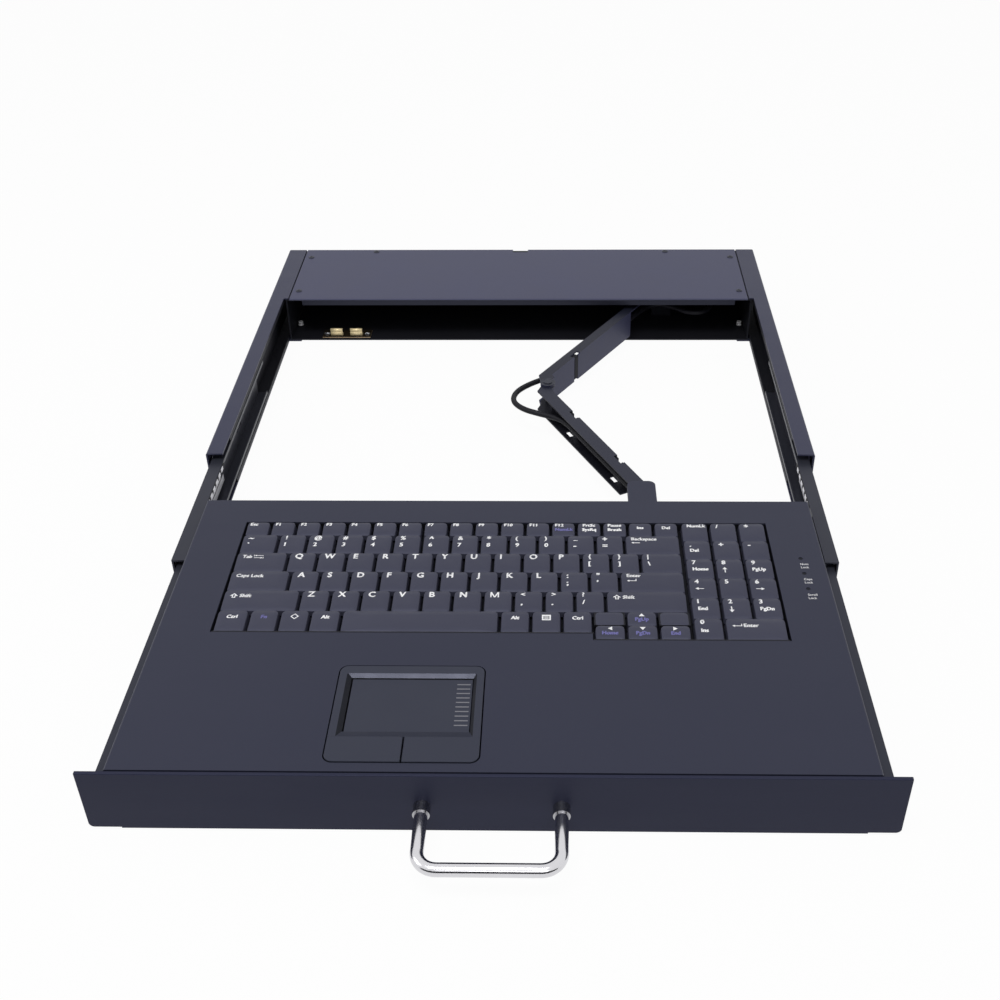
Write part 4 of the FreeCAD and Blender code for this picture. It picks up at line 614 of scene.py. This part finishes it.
SMALL, WORD, SIGN, FINE_SIGN, LETTER = 3.0, 3.1, 3.9, 4.9, 5.0
MARK_INSET, SMALL_INSET, MARK_LIFT, PART_GAP = 3.4, 1.7, 0.04, 0.9
GLYPH_HEIGHTS = {
    "M": LETTER, "{shift}": 4.4, "{tab}": 2.3, "{enter}": 2.8, "{back}": 2.6, "{menu}": 4.6,
    "{ring}": 4.4, "{up}": 3.3, "{down}": 3.3, "{left}": 3.3, "{right}": 3.3,
    "{arrow up}": 4.4, "{arrow down}": 4.4, "{arrow left}": 3.6, "{arrow right}": 3.6}


def sign_pairs(upper, lower):
    return [[above, below] for above, below in zip(upper, lower)]


MARKS = {
    "function_keys": [["Esc"]] + [["F%d" % number] for number in range(1, 12)] + [
        ["F12", blue("NumLk")], ["PrtSc", "SysRq"], ["Pause", "Break"], ["Ins"], ["Del"]],
    "number_keys": sign_pairs("~!@#$%^&*()_+", "`1234567890-=") + [["Backspace", "{back}"]],
    "upper_letter_keys": [["Tab {tab}"]] + [[letter] for letter in "QWERTYUIOP"]
    + sign_pairs("{}|", "[]\\"),
    "home_letter_keys": [["Caps Lock"]] + [[letter] for letter in "ASDFGHJKL"] + [
        [":", ";"], ["\"", "'"], ["Enter", "{enter}"]],
    "lower_letter_keys": [["{shift} Shift"]] + [[letter] for letter in "ZXCVBNM"]
    + sign_pairs("<>?", ",./") + [["{shift} Shift"]],
    "modifier_keys": [["Ctrl"], [blue("Fn")], ["{ring}"], ["Alt"], ["Alt"], ["{menu}"], ["Ctrl"]],
    "arrow_keys": [["{up}", blue("PgUp")], ["{left}", blue("Home")], ["{down}", blue("PgDn")],
                   ["{right}", blue("End")]],
    "number_pad_keys": [["NumLk"], ["/"], ["*"], [".", "Del"], ["+"], ["-"],
                        ["7", "Home"], ["8", "{arrow up}"], ["9", "PgUp"],
                        ["4", "{arrow left}"], ["5"], ["6", "{arrow right}"],
                        ["1", "End"], ["2", "{arrow down}"], ["3", "PgDn"],
                        ["0", "Ins"], ["{enter} Enter"]],
}

# From the back edge of a key to the top of its first line, and from line to line
PLAIN_DROP, PLAIN_PITCH = 0.8, 7.2
FIRST_DROP = {"number_keys": 0.9, "modifier_keys": 4.2, "arrow_keys": 0.9, "number_pad_keys": 1.2}
WORD_DROP = {
    "{ring}": 3.6, "{menu}": 3.4, "Tab {tab}": 3.4, "Caps Lock": 3.0, "{shift} Shift": 3.6,
    "PrtSc": 0.9, "Pause": 0.9, "Ins": 3.4, "Del": 3.4, "Enter": 1.6, "{enter} Enter": 4.6,
    "Backspace": 1.7}
LINE_PITCH = {"function_keys": 4.7, "arrow_keys": 4.1}
WORD_PITCH = {"Enter": 4.8, "Backspace": 4.4, "0": 8.0}
CENTRED = {"PrtSc", "Pause", "Ins", "Del"}
FINE_SIGNS = set("\"':;,.`-+=~^*")


def cap_height(row, text, lines):
    """How tall a line is printed: letters large, signs and digits smaller, words smallest."""
    if text in GLYPHS:
        return GLYPH_HEIGHTS[text]
    if text in FINE_SIGNS:
        return FINE_SIGN
    if len(text) == 1:
        return LETTER if len(lines) == 1 and text.isalpha() else SIGN
    return SMALL if row in ("function_keys", "arrow_keys") else WORD


def line_parts(text):
    """A line's words and signs, in order."""
    if text.startswith("{") and "} " in text:
        sign, word = text.split("} ")
        return [sign + "}", word]
    if " {" in text:
        word, sign = text.split(" {")
        return [word, "{" + sign]
    return [text]


def set_line(row, text, lines):
    """The parts of a line side by side from x = 0, each at its own height about one middle line.
    Words are printed three times, a little apart, which makes their strokes bold.
    """
    placed, start = [], 0.0
    for part in line_parts(text):
        points, faces = mark(part)
        height = cap_height(row, part, lines)
        points = points * height + (start, (WORD - height) / 2 if part != text else 0.0)
        shifts = [0] if part in GLYPHS else [0, 1, 2]
        placed += [(points + shift * STROKE_SHIFT, faces) for shift in shifts]
        start = placed[-1][0][:, 0].max() + PART_GAP
    return placed, start - PART_GAP


def join_sheets(sheets):
    """Several flat sets of points and triangles as one."""
    offsets = np.cumsum([0] + [len(points) for points, _ in sheets])
    return (np.concatenate([points for points, _ in sheets]),
            np.concatenate([faces + start for (_, faces), start in zip(sheets, offsets)]))


for row, legends in MARKS.items():
    sheets, inks, levels = [], [], []
    for cell, lines in zip(KEYS[row], legends):
        names = [line[0] if isinstance(line, tuple) else line for line in lines]
        centred = (row in ("modifier_keys", "arrow_keys")
                   or row == "function_keys" and names[0] in CENTRED)
        drop = WORD_DROP.get(names[0], FIRST_DROP.get(row, PLAIN_DROP))
        top = cell[3] - ROW_GAP - BACK_SLOPE - drop
        pitch = WORD_PITCH.get(names[0], LINE_PITCH.get(row, PLAIN_PITCH))
        inset = SMALL_INSET if row == "function_keys" else MARK_INSET
        for number, text in enumerate(names):
            parts, width = set_line(row, text, lines)
            left = cell[0] + SIDE_GAP + SIDE_SLOPE + inset
            if centred:
                left = (cell[0] + cell[1] - width) / 2
            base = top - number * pitch - cap_height(row, line_parts(text)[-1], lines)
            for points, faces in parts:
                placed = points + (left, base)
                sheets.append((placed, faces))
                levels.append(cap_top(placed[:, 0], placed[:, 1], cell))
                inks.append(np.full(len(faces), int(isinstance(lines[number], tuple))))
    flat, faces = join_sheets(sheets)
    solid = np.column_stack([flat, np.concatenate(levels) + MARK_LIFT])
    make_piece(row + "_marks", solid, faces, ["white_ink", "blue_ink"], row,
               which=np.concatenate(inks))


# Cable along the arm

CABLE, ARM_LEVEL, CABLE_CREASE = 4.5, 22, 60


def at_arm_level(*places):
    return [(x, y, ARM_LEVEL) for x, y in places]


CABLE_ROUTES = {
    "cable_arm_rear": ("arm_rear", at_arm_level((46.67, 167.12), (77.5, 216.4), (108.3, 265.74))),
    "cable_arm_front": ("arm_front", at_arm_level((48.23, 66.42), (92.7, -19.4), (96, -25.85))
                        + [(96, -25.85, 14.3)]),
    "cable_drawer": ("drawer", [(96, -25.85, 14), (96, -25.85, 7), (96, -40, 7), (96, -75.35, 7)]),
    "cable_rear": ("chassis", at_arm_level(
        (108.3, 265.74), (116.41, 278.72), (130.55, 285.65), (145.4, 276.65), (154.85, 267.65),
        (167.45, 267.65), (176.45, 276.65), (177.8, 294.2), (176.45, 320.75), (176, 348.65))),
    "cable_elbow": ("arm_front", at_arm_level(
        (46.67, 167.12), (39.51, 155.67), (25.98, 147.69), (12.03, 137.79), (1.23, 125.19),
        (-1.02, 110.34), (7.53, 98.19), (21.03, 90.99), (33.63, 85.59), (42.02, 78.4),
        (48.23, 66.42))),
}
BLENDS = {"cable_elbow": ("arm_rear", "arm_front"), "cable_rear": ("arm_rear", "chassis")}
for name, (body, route) in CABLE_ROUTES.items():
    across = BLENDS.get(name)
    run = make_piece(name + "_run", *tube(np.array(route, float), CABLE), ["cable_jacket"],
                     None if across else body, "cable_jacket", crease=CABLE_CREASE)
    if across:
        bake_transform(run)
    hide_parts(name)


# Screw heads and the nuts in the floor of the rear box

HEAD_RADIUS, HEAD_RISE, HEAD_FALL, HEAD_TURNS = 2.8, 0.6, 0.45, 24
HEAD_RINGS = np.array([0.02, 0.2, 0.22, 0.58, 0.6, 0.8, 0.94, 1.0, 1.0])[:, None]
CROSS_REACH, CROSS_HUB, CROSS_LEVEL, CROSS_PITCH = 0.59, 0.21, 0.3, 6
ROUND_CREASE = 30
UP, BACK, RIGHT, LEFT = (0, 0, 1), (0, 1, 0), (1, 0, 0), (-1, 0, 0)


def screw_heads(places):
    """Domed heads on a grid of radius and turn: the height falls as a parabola from the middle, and
    inside a cross of four wedges it drops to a flat recess. Each place is a point and a direction.
    """
    turn = np.arange(HEAD_TURNS) * 2 * math.pi / HEAD_TURNS
    height = HEAD_RISE * (1 - HEAD_FALL * HEAD_RINGS ** 2) + 0 * turn
    half = CROSS_PITCH // 2
    wedge = np.abs((np.arange(HEAD_TURNS) + half) % CROSS_PITCH - half) <= 1
    sunk = (wedge & (HEAD_RINGS < CROSS_REACH)) | (HEAD_RINGS < CROSS_HUB)
    height[sunk] = CROSS_LEVEL * HEAD_RISE
    height[-1] = 0.0
    radius = HEAD_RADIUS * HEAD_RINGS
    grid = np.stack([radius * np.cos(turn), radius * np.sin(turn), height], -1).reshape(-1, 3)
    one = band_faces(len(radius), HEAD_TURNS)[:, ::-1].tolist() + [list(range(HEAD_TURNS))]
    points, faces = [], []
    for number, (place, normal) in enumerate(places):
        normal = np.array(normal, float)
        first = np.cross(BACK if abs(normal[1]) < 0.5 else UP, normal)
        points.append(grid @ np.stack([first, np.cross(normal, first), normal]) + place)
        faces += [[corner + number * len(grid) for corner in face] for face in one]
    return np.concatenate(points), faces


SCREWS = {
    "cover_screws": ("chassis", [((x, y, 43.6), UP) for x in (-200, 200) for y in (268.65, 340.65)]
                     + [((x, 353.15, 43.6), UP) for x in (-139, 139)]),
    "catch_screws": ("chassis", [((x, 262.03, 3.2), UP) for x in (-177, -140)]),
    "arm_bracket_screws": ("chassis", [((x, 308.55, 3.9), UP) for x in (128.9, 137.9)]),
    "drawer_back_screws": ("drawer", [((x, -60.35, 21.6), BACK) for x in (91, 101)]
                           + [((x, -60.65, 5.9), BACK) for x in (-167.5, -149.5)]),
    "inner_slide_screws": ("drawer", [((sign * 209.25, y, 21.8), RIGHT if sign > 0 else LEFT)
                                      for sign in (-1, 1) for y in (-278.45, -92.25)]),
}
for node, (body, places) in SCREWS.items():
    heads = make_piece(node + "_heads", *screw_heads(places), [SLOTS[node]], body, SLOTS[node],
                       crease=ROUND_CREASE)
    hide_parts(node)

NUT_PROFILE = np.array([(0.5, 2.4), (2.6, 2.4), (2.6, 2.6), (2.1, 2.8), (2.1, 5.6), (1.9, 5.8),
                        (0.5, 5.8)])
NUT_PLACES = [(-205.0, 282.15), (205.0, 282.15)]
WASHER_PROFILE = np.array([(3.6, 33.6), (6.3, 33.6), (6.3, 33.85), (6.1, 34.0), (5.0, 34.0),
                           (4.8, 33.85), (4.2, 33.85), (4.0, 34.0), (3.6, 34.0)])
TURNS = 24


def turned_rings(profile, places):
    """Rings: one closed profile of radius and height carried round each place."""
    turn = np.linspace(0, 2 * math.pi, TURNS, endpoint=False)
    flat = profile[:, None, :1] * np.stack([np.cos(turn), np.sin(turn)], -1)[None]
    grid = np.concatenate([flat, np.broadcast_to(profile[:, None, 1:], flat.shape[:2] + (1,))], -1)
    closed = np.concatenate([grid, grid[:1]]).reshape(-1, 3)
    faces = band_faces(len(profile) + 1, TURNS)[:, ::-1]
    points = np.concatenate([closed + (x, y, 0) for x, y in places])
    return points, np.concatenate([faces + number * len(closed) for number in range(len(places))])


# Nuts in white: painted light for the white floor seen through the holes in the box's floor
make_piece("floor_nuts_painted_light", *turned_rings(NUT_PROFILE, NUT_PLACES), ["white_zinc"], "chassis", "zinc",
           crease=ROUND_CREASE)


# Strap through the slit of the rear link, and the washer of the elbow

ELBOW, REAR_PIVOT = np.array((27.778, 121.14)), np.array((133.4, 290.15))
TIE_PLACE, TIE_WIDTH, TIE_THICK, TIE_CORNER = 52.0, 5.0, 0.9, 2.0
TIE_NEAR, TIE_FAR, TIE_LOW, TIE_HIGH, TIE_STEPS = 4.0, 11.6, 10.2, 32.0, 32


def arm_tie():
    """A flat strap: a small rectangle carried round a rounded rectangle that stands across the
    link. The turn is moved a hair on, so that each of its points falls in one quarter.
    """
    turn = np.linspace(0, 2 * math.pi, TIE_STEPS, endpoint=False)
    side, rise = np.sign(np.cos(turn + 1e-6)), np.sign(np.sin(turn + 1e-6))
    half = np.array(((TIE_FAR - TIE_NEAR) / 2, (TIE_HIGH - TIE_LOW) / 2))
    centre = np.stack([side, rise], -1) * (half - TIE_CORNER)
    outward = np.stack([np.cos(turn), np.sin(turn)], -1)
    section = np.array([(0, -1), (TIE_THICK, -1), (TIE_THICK, 1), (0, 1)])
    loop = centre[:, None] + outward[:, None] * (TIE_CORNER - section[None, :, :1])
    along = (REAR_PIVOT - ELBOW) / np.linalg.norm(REAR_PIVOT - ELBOW)
    aside = np.array((-along[1], along[0]))
    run = TIE_PLACE + section[None, :, 1:] * TIE_WIDTH / 2
    across = loop[..., :1] + (TIE_NEAR + TIE_FAR) / 2
    flat = ELBOW + along * run + aside * across
    points = np.concatenate([flat, loop[..., 1:] + (TIE_LOW + TIE_HIGH) / 2], -1)
    closed = np.concatenate([points, points[:1]])
    return closed.reshape(-1, 3), band_faces(len(closed), 4)


make_piece("arm_tie", *arm_tie(), ["rubber"], "arm_rear", "rubber")
make_piece("elbow_washer", *turned_rings(WASHER_PROFILE, [ELBOW]), ["dark_steel"], "arm_rear",
           "dark_steel", crease=ROUND_CREASE)


# Spring leaves of the catch and the ball rows of the slides

CLIP_LIMITS = np.array([(-173.0, -162.0), (-155.0, -144.0)])
LEAF_THICK, LEAF_CREASE, ROLL_Y, ROLL_Z, ROLL_RADIUS = 0.6, 40, 258.65, 9.2, 1.2
ROLL_START, ROLL_END, ROLL_STEPS = 215, -10, 14
STEM = np.array([(264.0, 3.55), (259.0, 3.55), (258.35, 3.75), (258.05, 4.3), (258.0, 7.7),
                 (258.25, 8.2)])


def spring_leaves():
    """Leaves of the catch: a path of foot, upright, crease and rolled top, drawn across each leaf's
    width.
    """
    turn = np.radians(np.linspace(ROLL_START, ROLL_END, ROLL_STEPS))
    roll = np.stack([ROLL_Y + ROLL_RADIUS * np.cos(turn), ROLL_Z + ROLL_RADIUS * np.sin(turn)], -1)
    line = np.concatenate([STEM, roll])
    x = np.broadcast_to(CLIP_LIMITS[:, None, :], (len(CLIP_LIMITS), len(line), 2))
    yz = np.broadcast_to(line[None, :, None, :], x.shape + (2,))
    points = np.concatenate([x[..., None], yz], -1)
    row = np.arange(len(line) - 1) * 2
    one = np.stack([row, row + 1, row + 3, row + 2], -1)
    faces = np.concatenate([one + number * 2 * len(line) for number in range(len(CLIP_LIMITS))])
    return points.reshape(-1, 3), faces


leaves = make_piece("catch_leaves", *spring_leaves(), ["spring_brass"], "chassis", "brass",
                    crease=LEAF_CREASE)
sheet = leaves.modifiers.new("sheet", "SOLIDIFY")
sheet.thickness, sheet.offset = LEAF_THICK * MM, 0.0
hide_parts("catch_clips")

ROW_X, ROW_FRONT, ROW_BACK, ROW_LOW, ROW_HIGH, ROW_DEEP = 210.7, -57.0, -2.0, 35.0, 37.7, 0.1
TAB_START, TAB_LONG, TAB_PITCH, TAB_COUNT, TAB_DEEP = 1.5, 5.0, 8.5, 6, 0.3
END_X, END_DEEP = 218.2, 0.4
END_BARS = [(-38.0, -33.0, 10.0, 33.0), (-33.0, 14.0, 10.0, 15.5), (-33.0, 6.0, 17.0, 22.5),
            (-33.0, -8.0, 25.0, 33.0)]
BLOCK_CORNERS = np.stack(np.meshgrid((0, 1), (0, 1), (0, 1), indexing="ij"), -1).reshape(-1, 3)
BLOCK_FACES = np.array([(0, 1, 3, 2), (4, 6, 7, 5), (0, 4, 5, 1), (2, 3, 7, 6), (0, 2, 6, 4),
                        (1, 5, 7, 3)])


def blocks(pairs):
    """Upright blocks between pairs of opposite corners: the eight corners of a block are the
    products of the three pairs of limits.
    """
    lows, highs = np.sort(np.array(pairs, float).swapaxes(0, 1), 0)
    points = lows[:, None] + BLOCK_CORNERS * (highs - lows)[:, None]
    faces = BLOCK_FACES + np.arange(len(points))[:, None, None] * len(BLOCK_CORNERS)
    return points.reshape(-1, 3), faces.reshape(-1, 4)


for name, side in (("left", -1), ("right", 1)):
    inside, cage = side * ROW_X, name + "_inner_cage"
    starts = [ROW_FRONT + TAB_START + number * TAB_PITCH for number in range(TAB_COUNT)]
    # The first block, dark behind the tabs, is painted shade in the gaps between the tabs
    row = [((inside, ROW_FRONT, ROW_LOW), (inside + side * ROW_DEEP, ROW_BACK, ROW_HIGH))]
    row += [((inside - side * TAB_DEEP, start, ROW_LOW), (inside, start + TAB_LONG, ROW_HIGH))
            for start in starts]
    make_piece(name + "_ball_row", *blocks(row), ["rubber", "cage_steel"], cage, "zinc",
               np.repeat(np.arange(len(row)) > 0, len(BLOCK_FACES)))
    ends = [((side * END_X, near, low), (side * (END_X + END_DEEP), far, high))
            for near, far, low, high in END_BARS]
    make_piece(name + "_cage_end", *blocks(ends), ["cage_steel"], cage, "zinc")


# Touchpad: frame with a sloped inner edge, and the two buttons in front of it

def rounded(left, right, front, back, radii, steps=6):
    """A rectangle with a quarter turn at each corner, from the back right one round to the left."""
    radii = np.array(radii, float)
    inward = np.array([(-1, -1), (1, -1), (1, 1), (-1, 1)])
    corners = np.array([(right, back), (left, back), (left, front), (right, front)])
    centre = corners + radii[:, None] * inward
    angle = np.arange(4)[:, None] * math.pi / 2 + np.linspace(0, math.pi / 2, steps)
    reach = np.stack([np.cos(angle), np.sin(angle)], -1)
    return (centre[:, None] + radii[:, None, None] * reach).reshape(-1, 2)


def stacked(rings):
    """Outlines of equal count, each at its own height or heights, as rings of points in order."""
    return np.concatenate([np.column_stack([outline, np.broadcast_to(level, len(outline))])
                           for outline, level in rings])


def slab(rings):
    """Stacked outlines closed by a flat face at the bottom and at the top."""
    points = stacked(rings)
    count = len(points) // len(rings)
    low, high = range(count - 1, -1, -1), range(len(points) - count, len(points))
    return points, band_faces(len(rings), count).tolist() + [list(high), list(low)]


TOUCH_LEFT, TOUCH_RIGHT, TOUCH_FRONT, TOUCH_BACK = -91.5, -6.9, -301.65, -226.85
TOUCH_LOW, TOUCH_TOP, TOUCH_CORNER, TOUCH_ROLL, TOUCH_SHARP = 38.1, 44.1, 5.0, 0.25, 0.05
RIM_LEFT, RIM_RIGHT, RIM_BACK, RIM_CORNER, RIM_STEP = -87.1, -11.2, -233.3, 1.0, 0.2
FOOT_LEFT, FOOT_RIGHT, FOOT_BACK, FOOT_CORNER, FOOT_LEVEL = -84.3, -13.0, -235.8, 0.3, 42.6
STRIP_FRONT, STRIP_BACK = -283.6, -278.4
PAD_LOW, PAD_LEVEL, PAD_EDGE, PAD_CORNER, PAD_ROLL, PAD_GAP = 41.0, 42.5, 0.9, 0.4, 0.15, 0.03
SPLIT, SPLIT_HALF, BUTTON_LOW, BUTTON_CORNER, BUTTON_GAP = -49.2, 0.45, 41.0, 0.3, 0.04
LEAST_CORNER, FRAME_CREASE, SLAB_CREASE = 0.02, 20, 25
SLOPE_BAND, WALL_BAND = 3, 4
FRAME_LOOKS = ["pad_plastic", "polished_edge", "dark_lens_and_painted_shade", "pad_strip_painted_shade", "rubber"]
PLAIN, POLISHED, SHADED, STRIP, WALL = range(5)


def sharp_front(corner):
    return corner, corner, TOUCH_SHARP, TOUCH_SHARP


def frame_ring(inset, level):
    return rounded(TOUCH_LEFT + inset, TOUCH_RIGHT - inset, STRIP_FRONT, TOUCH_BACK - inset,
                   sharp_front(TOUCH_CORNER - inset)), level


def pad_ring(inset, level):
    return rounded(FOOT_LEFT + PAD_EDGE + inset, FOOT_RIGHT - PAD_EDGE / 2 - inset,
                   STRIP_BACK + PAD_GAP, FOOT_BACK - PAD_EDGE - inset,
                   sharp_front(PAD_CORNER)), level


def button_ring(left, right, corners, inset, level):
    return rounded(left + inset, right - inset, TOUCH_FRONT + inset, STRIP_FRONT - BUTTON_GAP,
                   np.maximum(np.array(corners) - inset, LEAST_CORNER)), level


rim = rounded(RIM_LEFT, RIM_RIGHT, STRIP_FRONT + RIM_STEP, RIM_BACK,
              sharp_front(RIM_CORNER))
foot = rounded(FOOT_LEFT, FOOT_RIGHT, STRIP_BACK, FOOT_BACK, sharp_front(FOOT_CORNER))
falls = np.where(foot[:, 1] < (STRIP_BACK + FOOT_BACK) / 2, PAD_LEVEL, FOOT_LEVEL)
rings = [frame_ring(0.0, TOUCH_LOW), frame_ring(0.0, TOUCH_TOP - TOUCH_ROLL),
         frame_ring(TOUCH_ROLL, TOUCH_TOP), (rim, TOUCH_TOP), (foot, falls), (foot, TOUCH_LOW),
         frame_ring(0.0, TOUCH_LOW)]
# Painted shade: side slopes and front strip darker, the wall in the groove round the pad dark
# rubber
edge = np.abs(np.roll(rim, -1, 0) - rim)
looks = np.full((len(rings) - 1, len(rim)), PLAIN)
looks[SLOPE_BAND] = np.where(edge[:, 1] > edge[:, 0], SHADED,
                             np.where(rim[:, 1] > STRIP_BACK, POLISHED, STRIP))
looks[WALL_BAND] = WALL
shell = make_piece("touchpad_rim", stacked(rings), band_faces(len(rings), len(rim)), FRAME_LOOKS,
                   "drawer", "pad_plastic", looks.ravel(), FRAME_CREASE)
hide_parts("touchpad_frame")

rings = [pad_ring(0.0, PAD_LOW), pad_ring(0.0, PAD_LEVEL - PAD_ROLL), pad_ring(PAD_ROLL, PAD_LEVEL)]
sheet = make_piece("touchpad_sheet", *slab(rings), ["pad_plastic"], "drawer", "pad_plastic",
                   crease=SLAB_CREASE)
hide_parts("touchpad_surface")

for name, *shape in (
        ("left", TOUCH_LEFT, SPLIT - SPLIT_HALF,
         (BUTTON_CORNER, TOUCH_SHARP, TOUCH_CORNER, BUTTON_CORNER)),
        ("right", SPLIT + SPLIT_HALF, TOUCH_RIGHT,
         (TOUCH_SHARP, BUTTON_CORNER, BUTTON_CORNER, TOUCH_CORNER))):
    rings = [button_ring(*shape, 0.0, BUTTON_LOW), button_ring(*shape, 0.0, TOUCH_TOP - TOUCH_ROLL),
             button_ring(*shape, TOUCH_ROLL, TOUCH_TOP)]
    button = make_piece("touchpad_%s_key" % name, *slab(rings), ["pad_plastic"], "touch_" + name,
                        "pad_plastic", crease=SLAB_CREASE)
    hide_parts("touchpad_%s_button" % name)


# Painted shadow of the gaps in front of the keys, lines on the touchpad and words at the lamps

DECK_TOP, GAP_WIDE = 43.6, 0.8
GAP_LEFT, GAP_SPLIT, GAP_RIGHT, GAP_BACK, ARROW_GAP_BACK = -175.3, 57.6, 175.3, -196.2, -202.1
SCROLL_LEFT, SCROLL_RIGHT, SCROLL_FRONT, SCROLL_BACK = -22.3, -14.6, -273.2, -240.8
SCROLL_LINES, SCROLL_HALF = 10, 0.4
LAMP_X, LAMP_BACK, LAMP_PITCH = 193.95, -123.05, 15.4
LAMP_WORD, LAMP_LINE, LAMP_DROP, LAMP_SIDE = 2.0, 3.3, 4.8, 1.1
LAMP_NAMES = (("Num", "Lock"), ("Caps", "Lock"), ("Scroll", "Lock"))


def print_flat(name, flat, faces, level, finish):
    """A print on the drawer, all at one level."""
    points = np.column_stack([flat, np.full(len(flat), level + MARK_LIFT)])
    make_piece(name, points, faces, [finish], "drawer")


def print_bars(name, bars, level, finish):
    flat = np.array(bars).reshape(-1, 2)
    print_flat(name, flat, np.arange(len(flat)).reshape(-1, 4), level, finish)


# Dark rubber printed on the deck: painted shadow in the gaps in front of the keys
gap_shadows = [bar(GAP_LEFT, GAP_BACK - GAP_WIDE, GAP_SPLIT, GAP_BACK),
        bar(GAP_SPLIT, ARROW_GAP_BACK - GAP_WIDE, GAP_RIGHT, ARROW_GAP_BACK)]
print_bars("key_front_painted_shadows", gap_shadows, DECK_TOP, "rubber")
lines = [bar(SCROLL_LEFT, y - SCROLL_HALF, SCROLL_RIGHT, y + SCROLL_HALF)
         for y in np.linspace(SCROLL_FRONT, SCROLL_BACK, SCROLL_LINES)]
print_bars("scroll_lines", lines, PAD_LEVEL, "grey_ink")

sheets = []
for number, words in enumerate(LAMP_NAMES):
    for line, word in enumerate(words):
        points, faces = mark(word)
        y = LAMP_BACK - number * LAMP_PITCH - LAMP_DROP - LAMP_WORD - line * LAMP_LINE
        sheets.append((points * LAMP_WORD + (LAMP_X - LAMP_SIDE, y), faces))
print_flat("lamp_words", *join_sheets(sheets), DECK_TOP, "white_ink")


# Floor, light and camera

FLOOR_GLOW, SKY_LIGHT, SKY_SEEN = 0.96, 0.32, 0.68
FLOOR_REACH, FLOOR_LEVEL = 6000.0, -0.5
CARD_FRONT, CARD_REACH, CARD_HEIGHT = -1700.0, 2500.0, 760.0


def studio_floor(name):
    """A white floor that the camera, glossy and clear surfaces see as white with a faint shadow."""
    floor = Finish(name, Specular_IOR_Level=0.0, Roughness=0.9)
    cloud = floor.noise(1.5, 2.0, 0.5)
    floor.feed("Base Color", cloud.tint((0.80, 0.80, 0.80), (0.83, 0.83, 0.83)))
    glow = floor.node("ShaderNodeEmission", {}, {"Color": WHITE, "Strength": 1.0})
    plain = Flow(floor.tree, floor.surface.outputs[0])
    share = floor.seen_rays() * FLOOR_GLOW
    mixed = floor.node("ShaderNodeMixShader", {}, {0: share, 1: plain, 2: glow})
    floor.tree.links.new(mixed.output, floor.tree.nodes["Material Output"].inputs["Surface"])
    return floor.material


add_finish(studio_floor, "studio_floor")
ground = [(x * FLOOR_REACH, y * FLOOR_REACH, FLOOR_LEVEL)
          for x, y in ((-1, -1), (1, -1), (1, 1), (-1, 1))]
make_piece("floor", ground, [(0, 1, 2, 3)], ["studio_floor"], None)

card = [(-CARD_REACH, CARD_FRONT, 0), (CARD_REACH, CARD_FRONT, 0),
        (CARD_REACH, CARD_FRONT, CARD_HEIGHT), (-CARD_REACH, CARD_FRONT, CARD_HEIGHT)]
flag = make_piece("dark_card", card, [(0, 1, 2, 3)], ["rubber"], None)
flag.visible_camera = False

world = bpy.data.worlds.new("studio")
scene.world = world
world.use_nodes = True
background = world.node_tree.nodes["Background"]
background.inputs["Color"].default_value = WHITE
strength = SKY_LIGHT + SKY_SEEN * Flow(world.node_tree).seen_rays()
world.node_tree.links.new(strength.output, background.inputs["Strength"])


def softbox(name, place, aim, width, height, power):
    """A rectangular lamp turned to face a point."""
    lamp = bpy.data.lights.new(name, "AREA")
    lamp.shape = "RECTANGLE"
    lamp.size, lamp.size_y, lamp.energy = width, height, power
    holder = bpy.data.objects.new(name, lamp)
    scene.collection.objects.link(holder)
    toward = np.array(aim, float) - place
    yaw = math.atan2(toward[1], toward[0])
    tilt = math.atan2(math.hypot(toward[0], toward[1]), -toward[2])
    holder.location = place
    holder.rotation_euler = (tilt, 0.0, yaw - math.pi / 2)


softbox("overhead", (-0.15, -0.75, 1.9), (0.0, -0.05, 0.0), width=1.2, height=0.6, power=19.5)
softbox("left", (-1.7, -0.3, 1.2), (0.0, 0.0, 0.0), width=0.9, height=0.8, power=5.8)
softbox("front", (0.3, -1.7, 1.0), (0.0, 0.0, 0.0), width=0.9, height=0.5, power=2.9)

FOCAL_PIXELS, IMAGE_PIXELS, SENSOR, SHIFT_X, FAR_CLIP = 1253.7, 1000.0, 36.0, -0.0295, 50.0
VIEW_PLACE, VIEW_TURN = (0.033865, -0.768304, 0.551181), (54.4472, 0.5586, 1.0287)
camera = bpy.data.cameras.new("camera")
camera.sensor_width = SENSOR
camera.lens = FOCAL_PIXELS / IMAGE_PIXELS * SENSOR
camera.shift_x = SHIFT_X
camera.clip_end = FAR_CLIP
viewpoint = bpy.data.objects.new("camera", camera)
viewpoint.location = VIEW_PLACE
viewpoint.rotation_euler = [math.radians(angle) for angle in VIEW_TURN]
scene.collection.objects.link(viewpoint)
scene.camera = viewpoint
scene.view_settings.view_transform = "Standard"
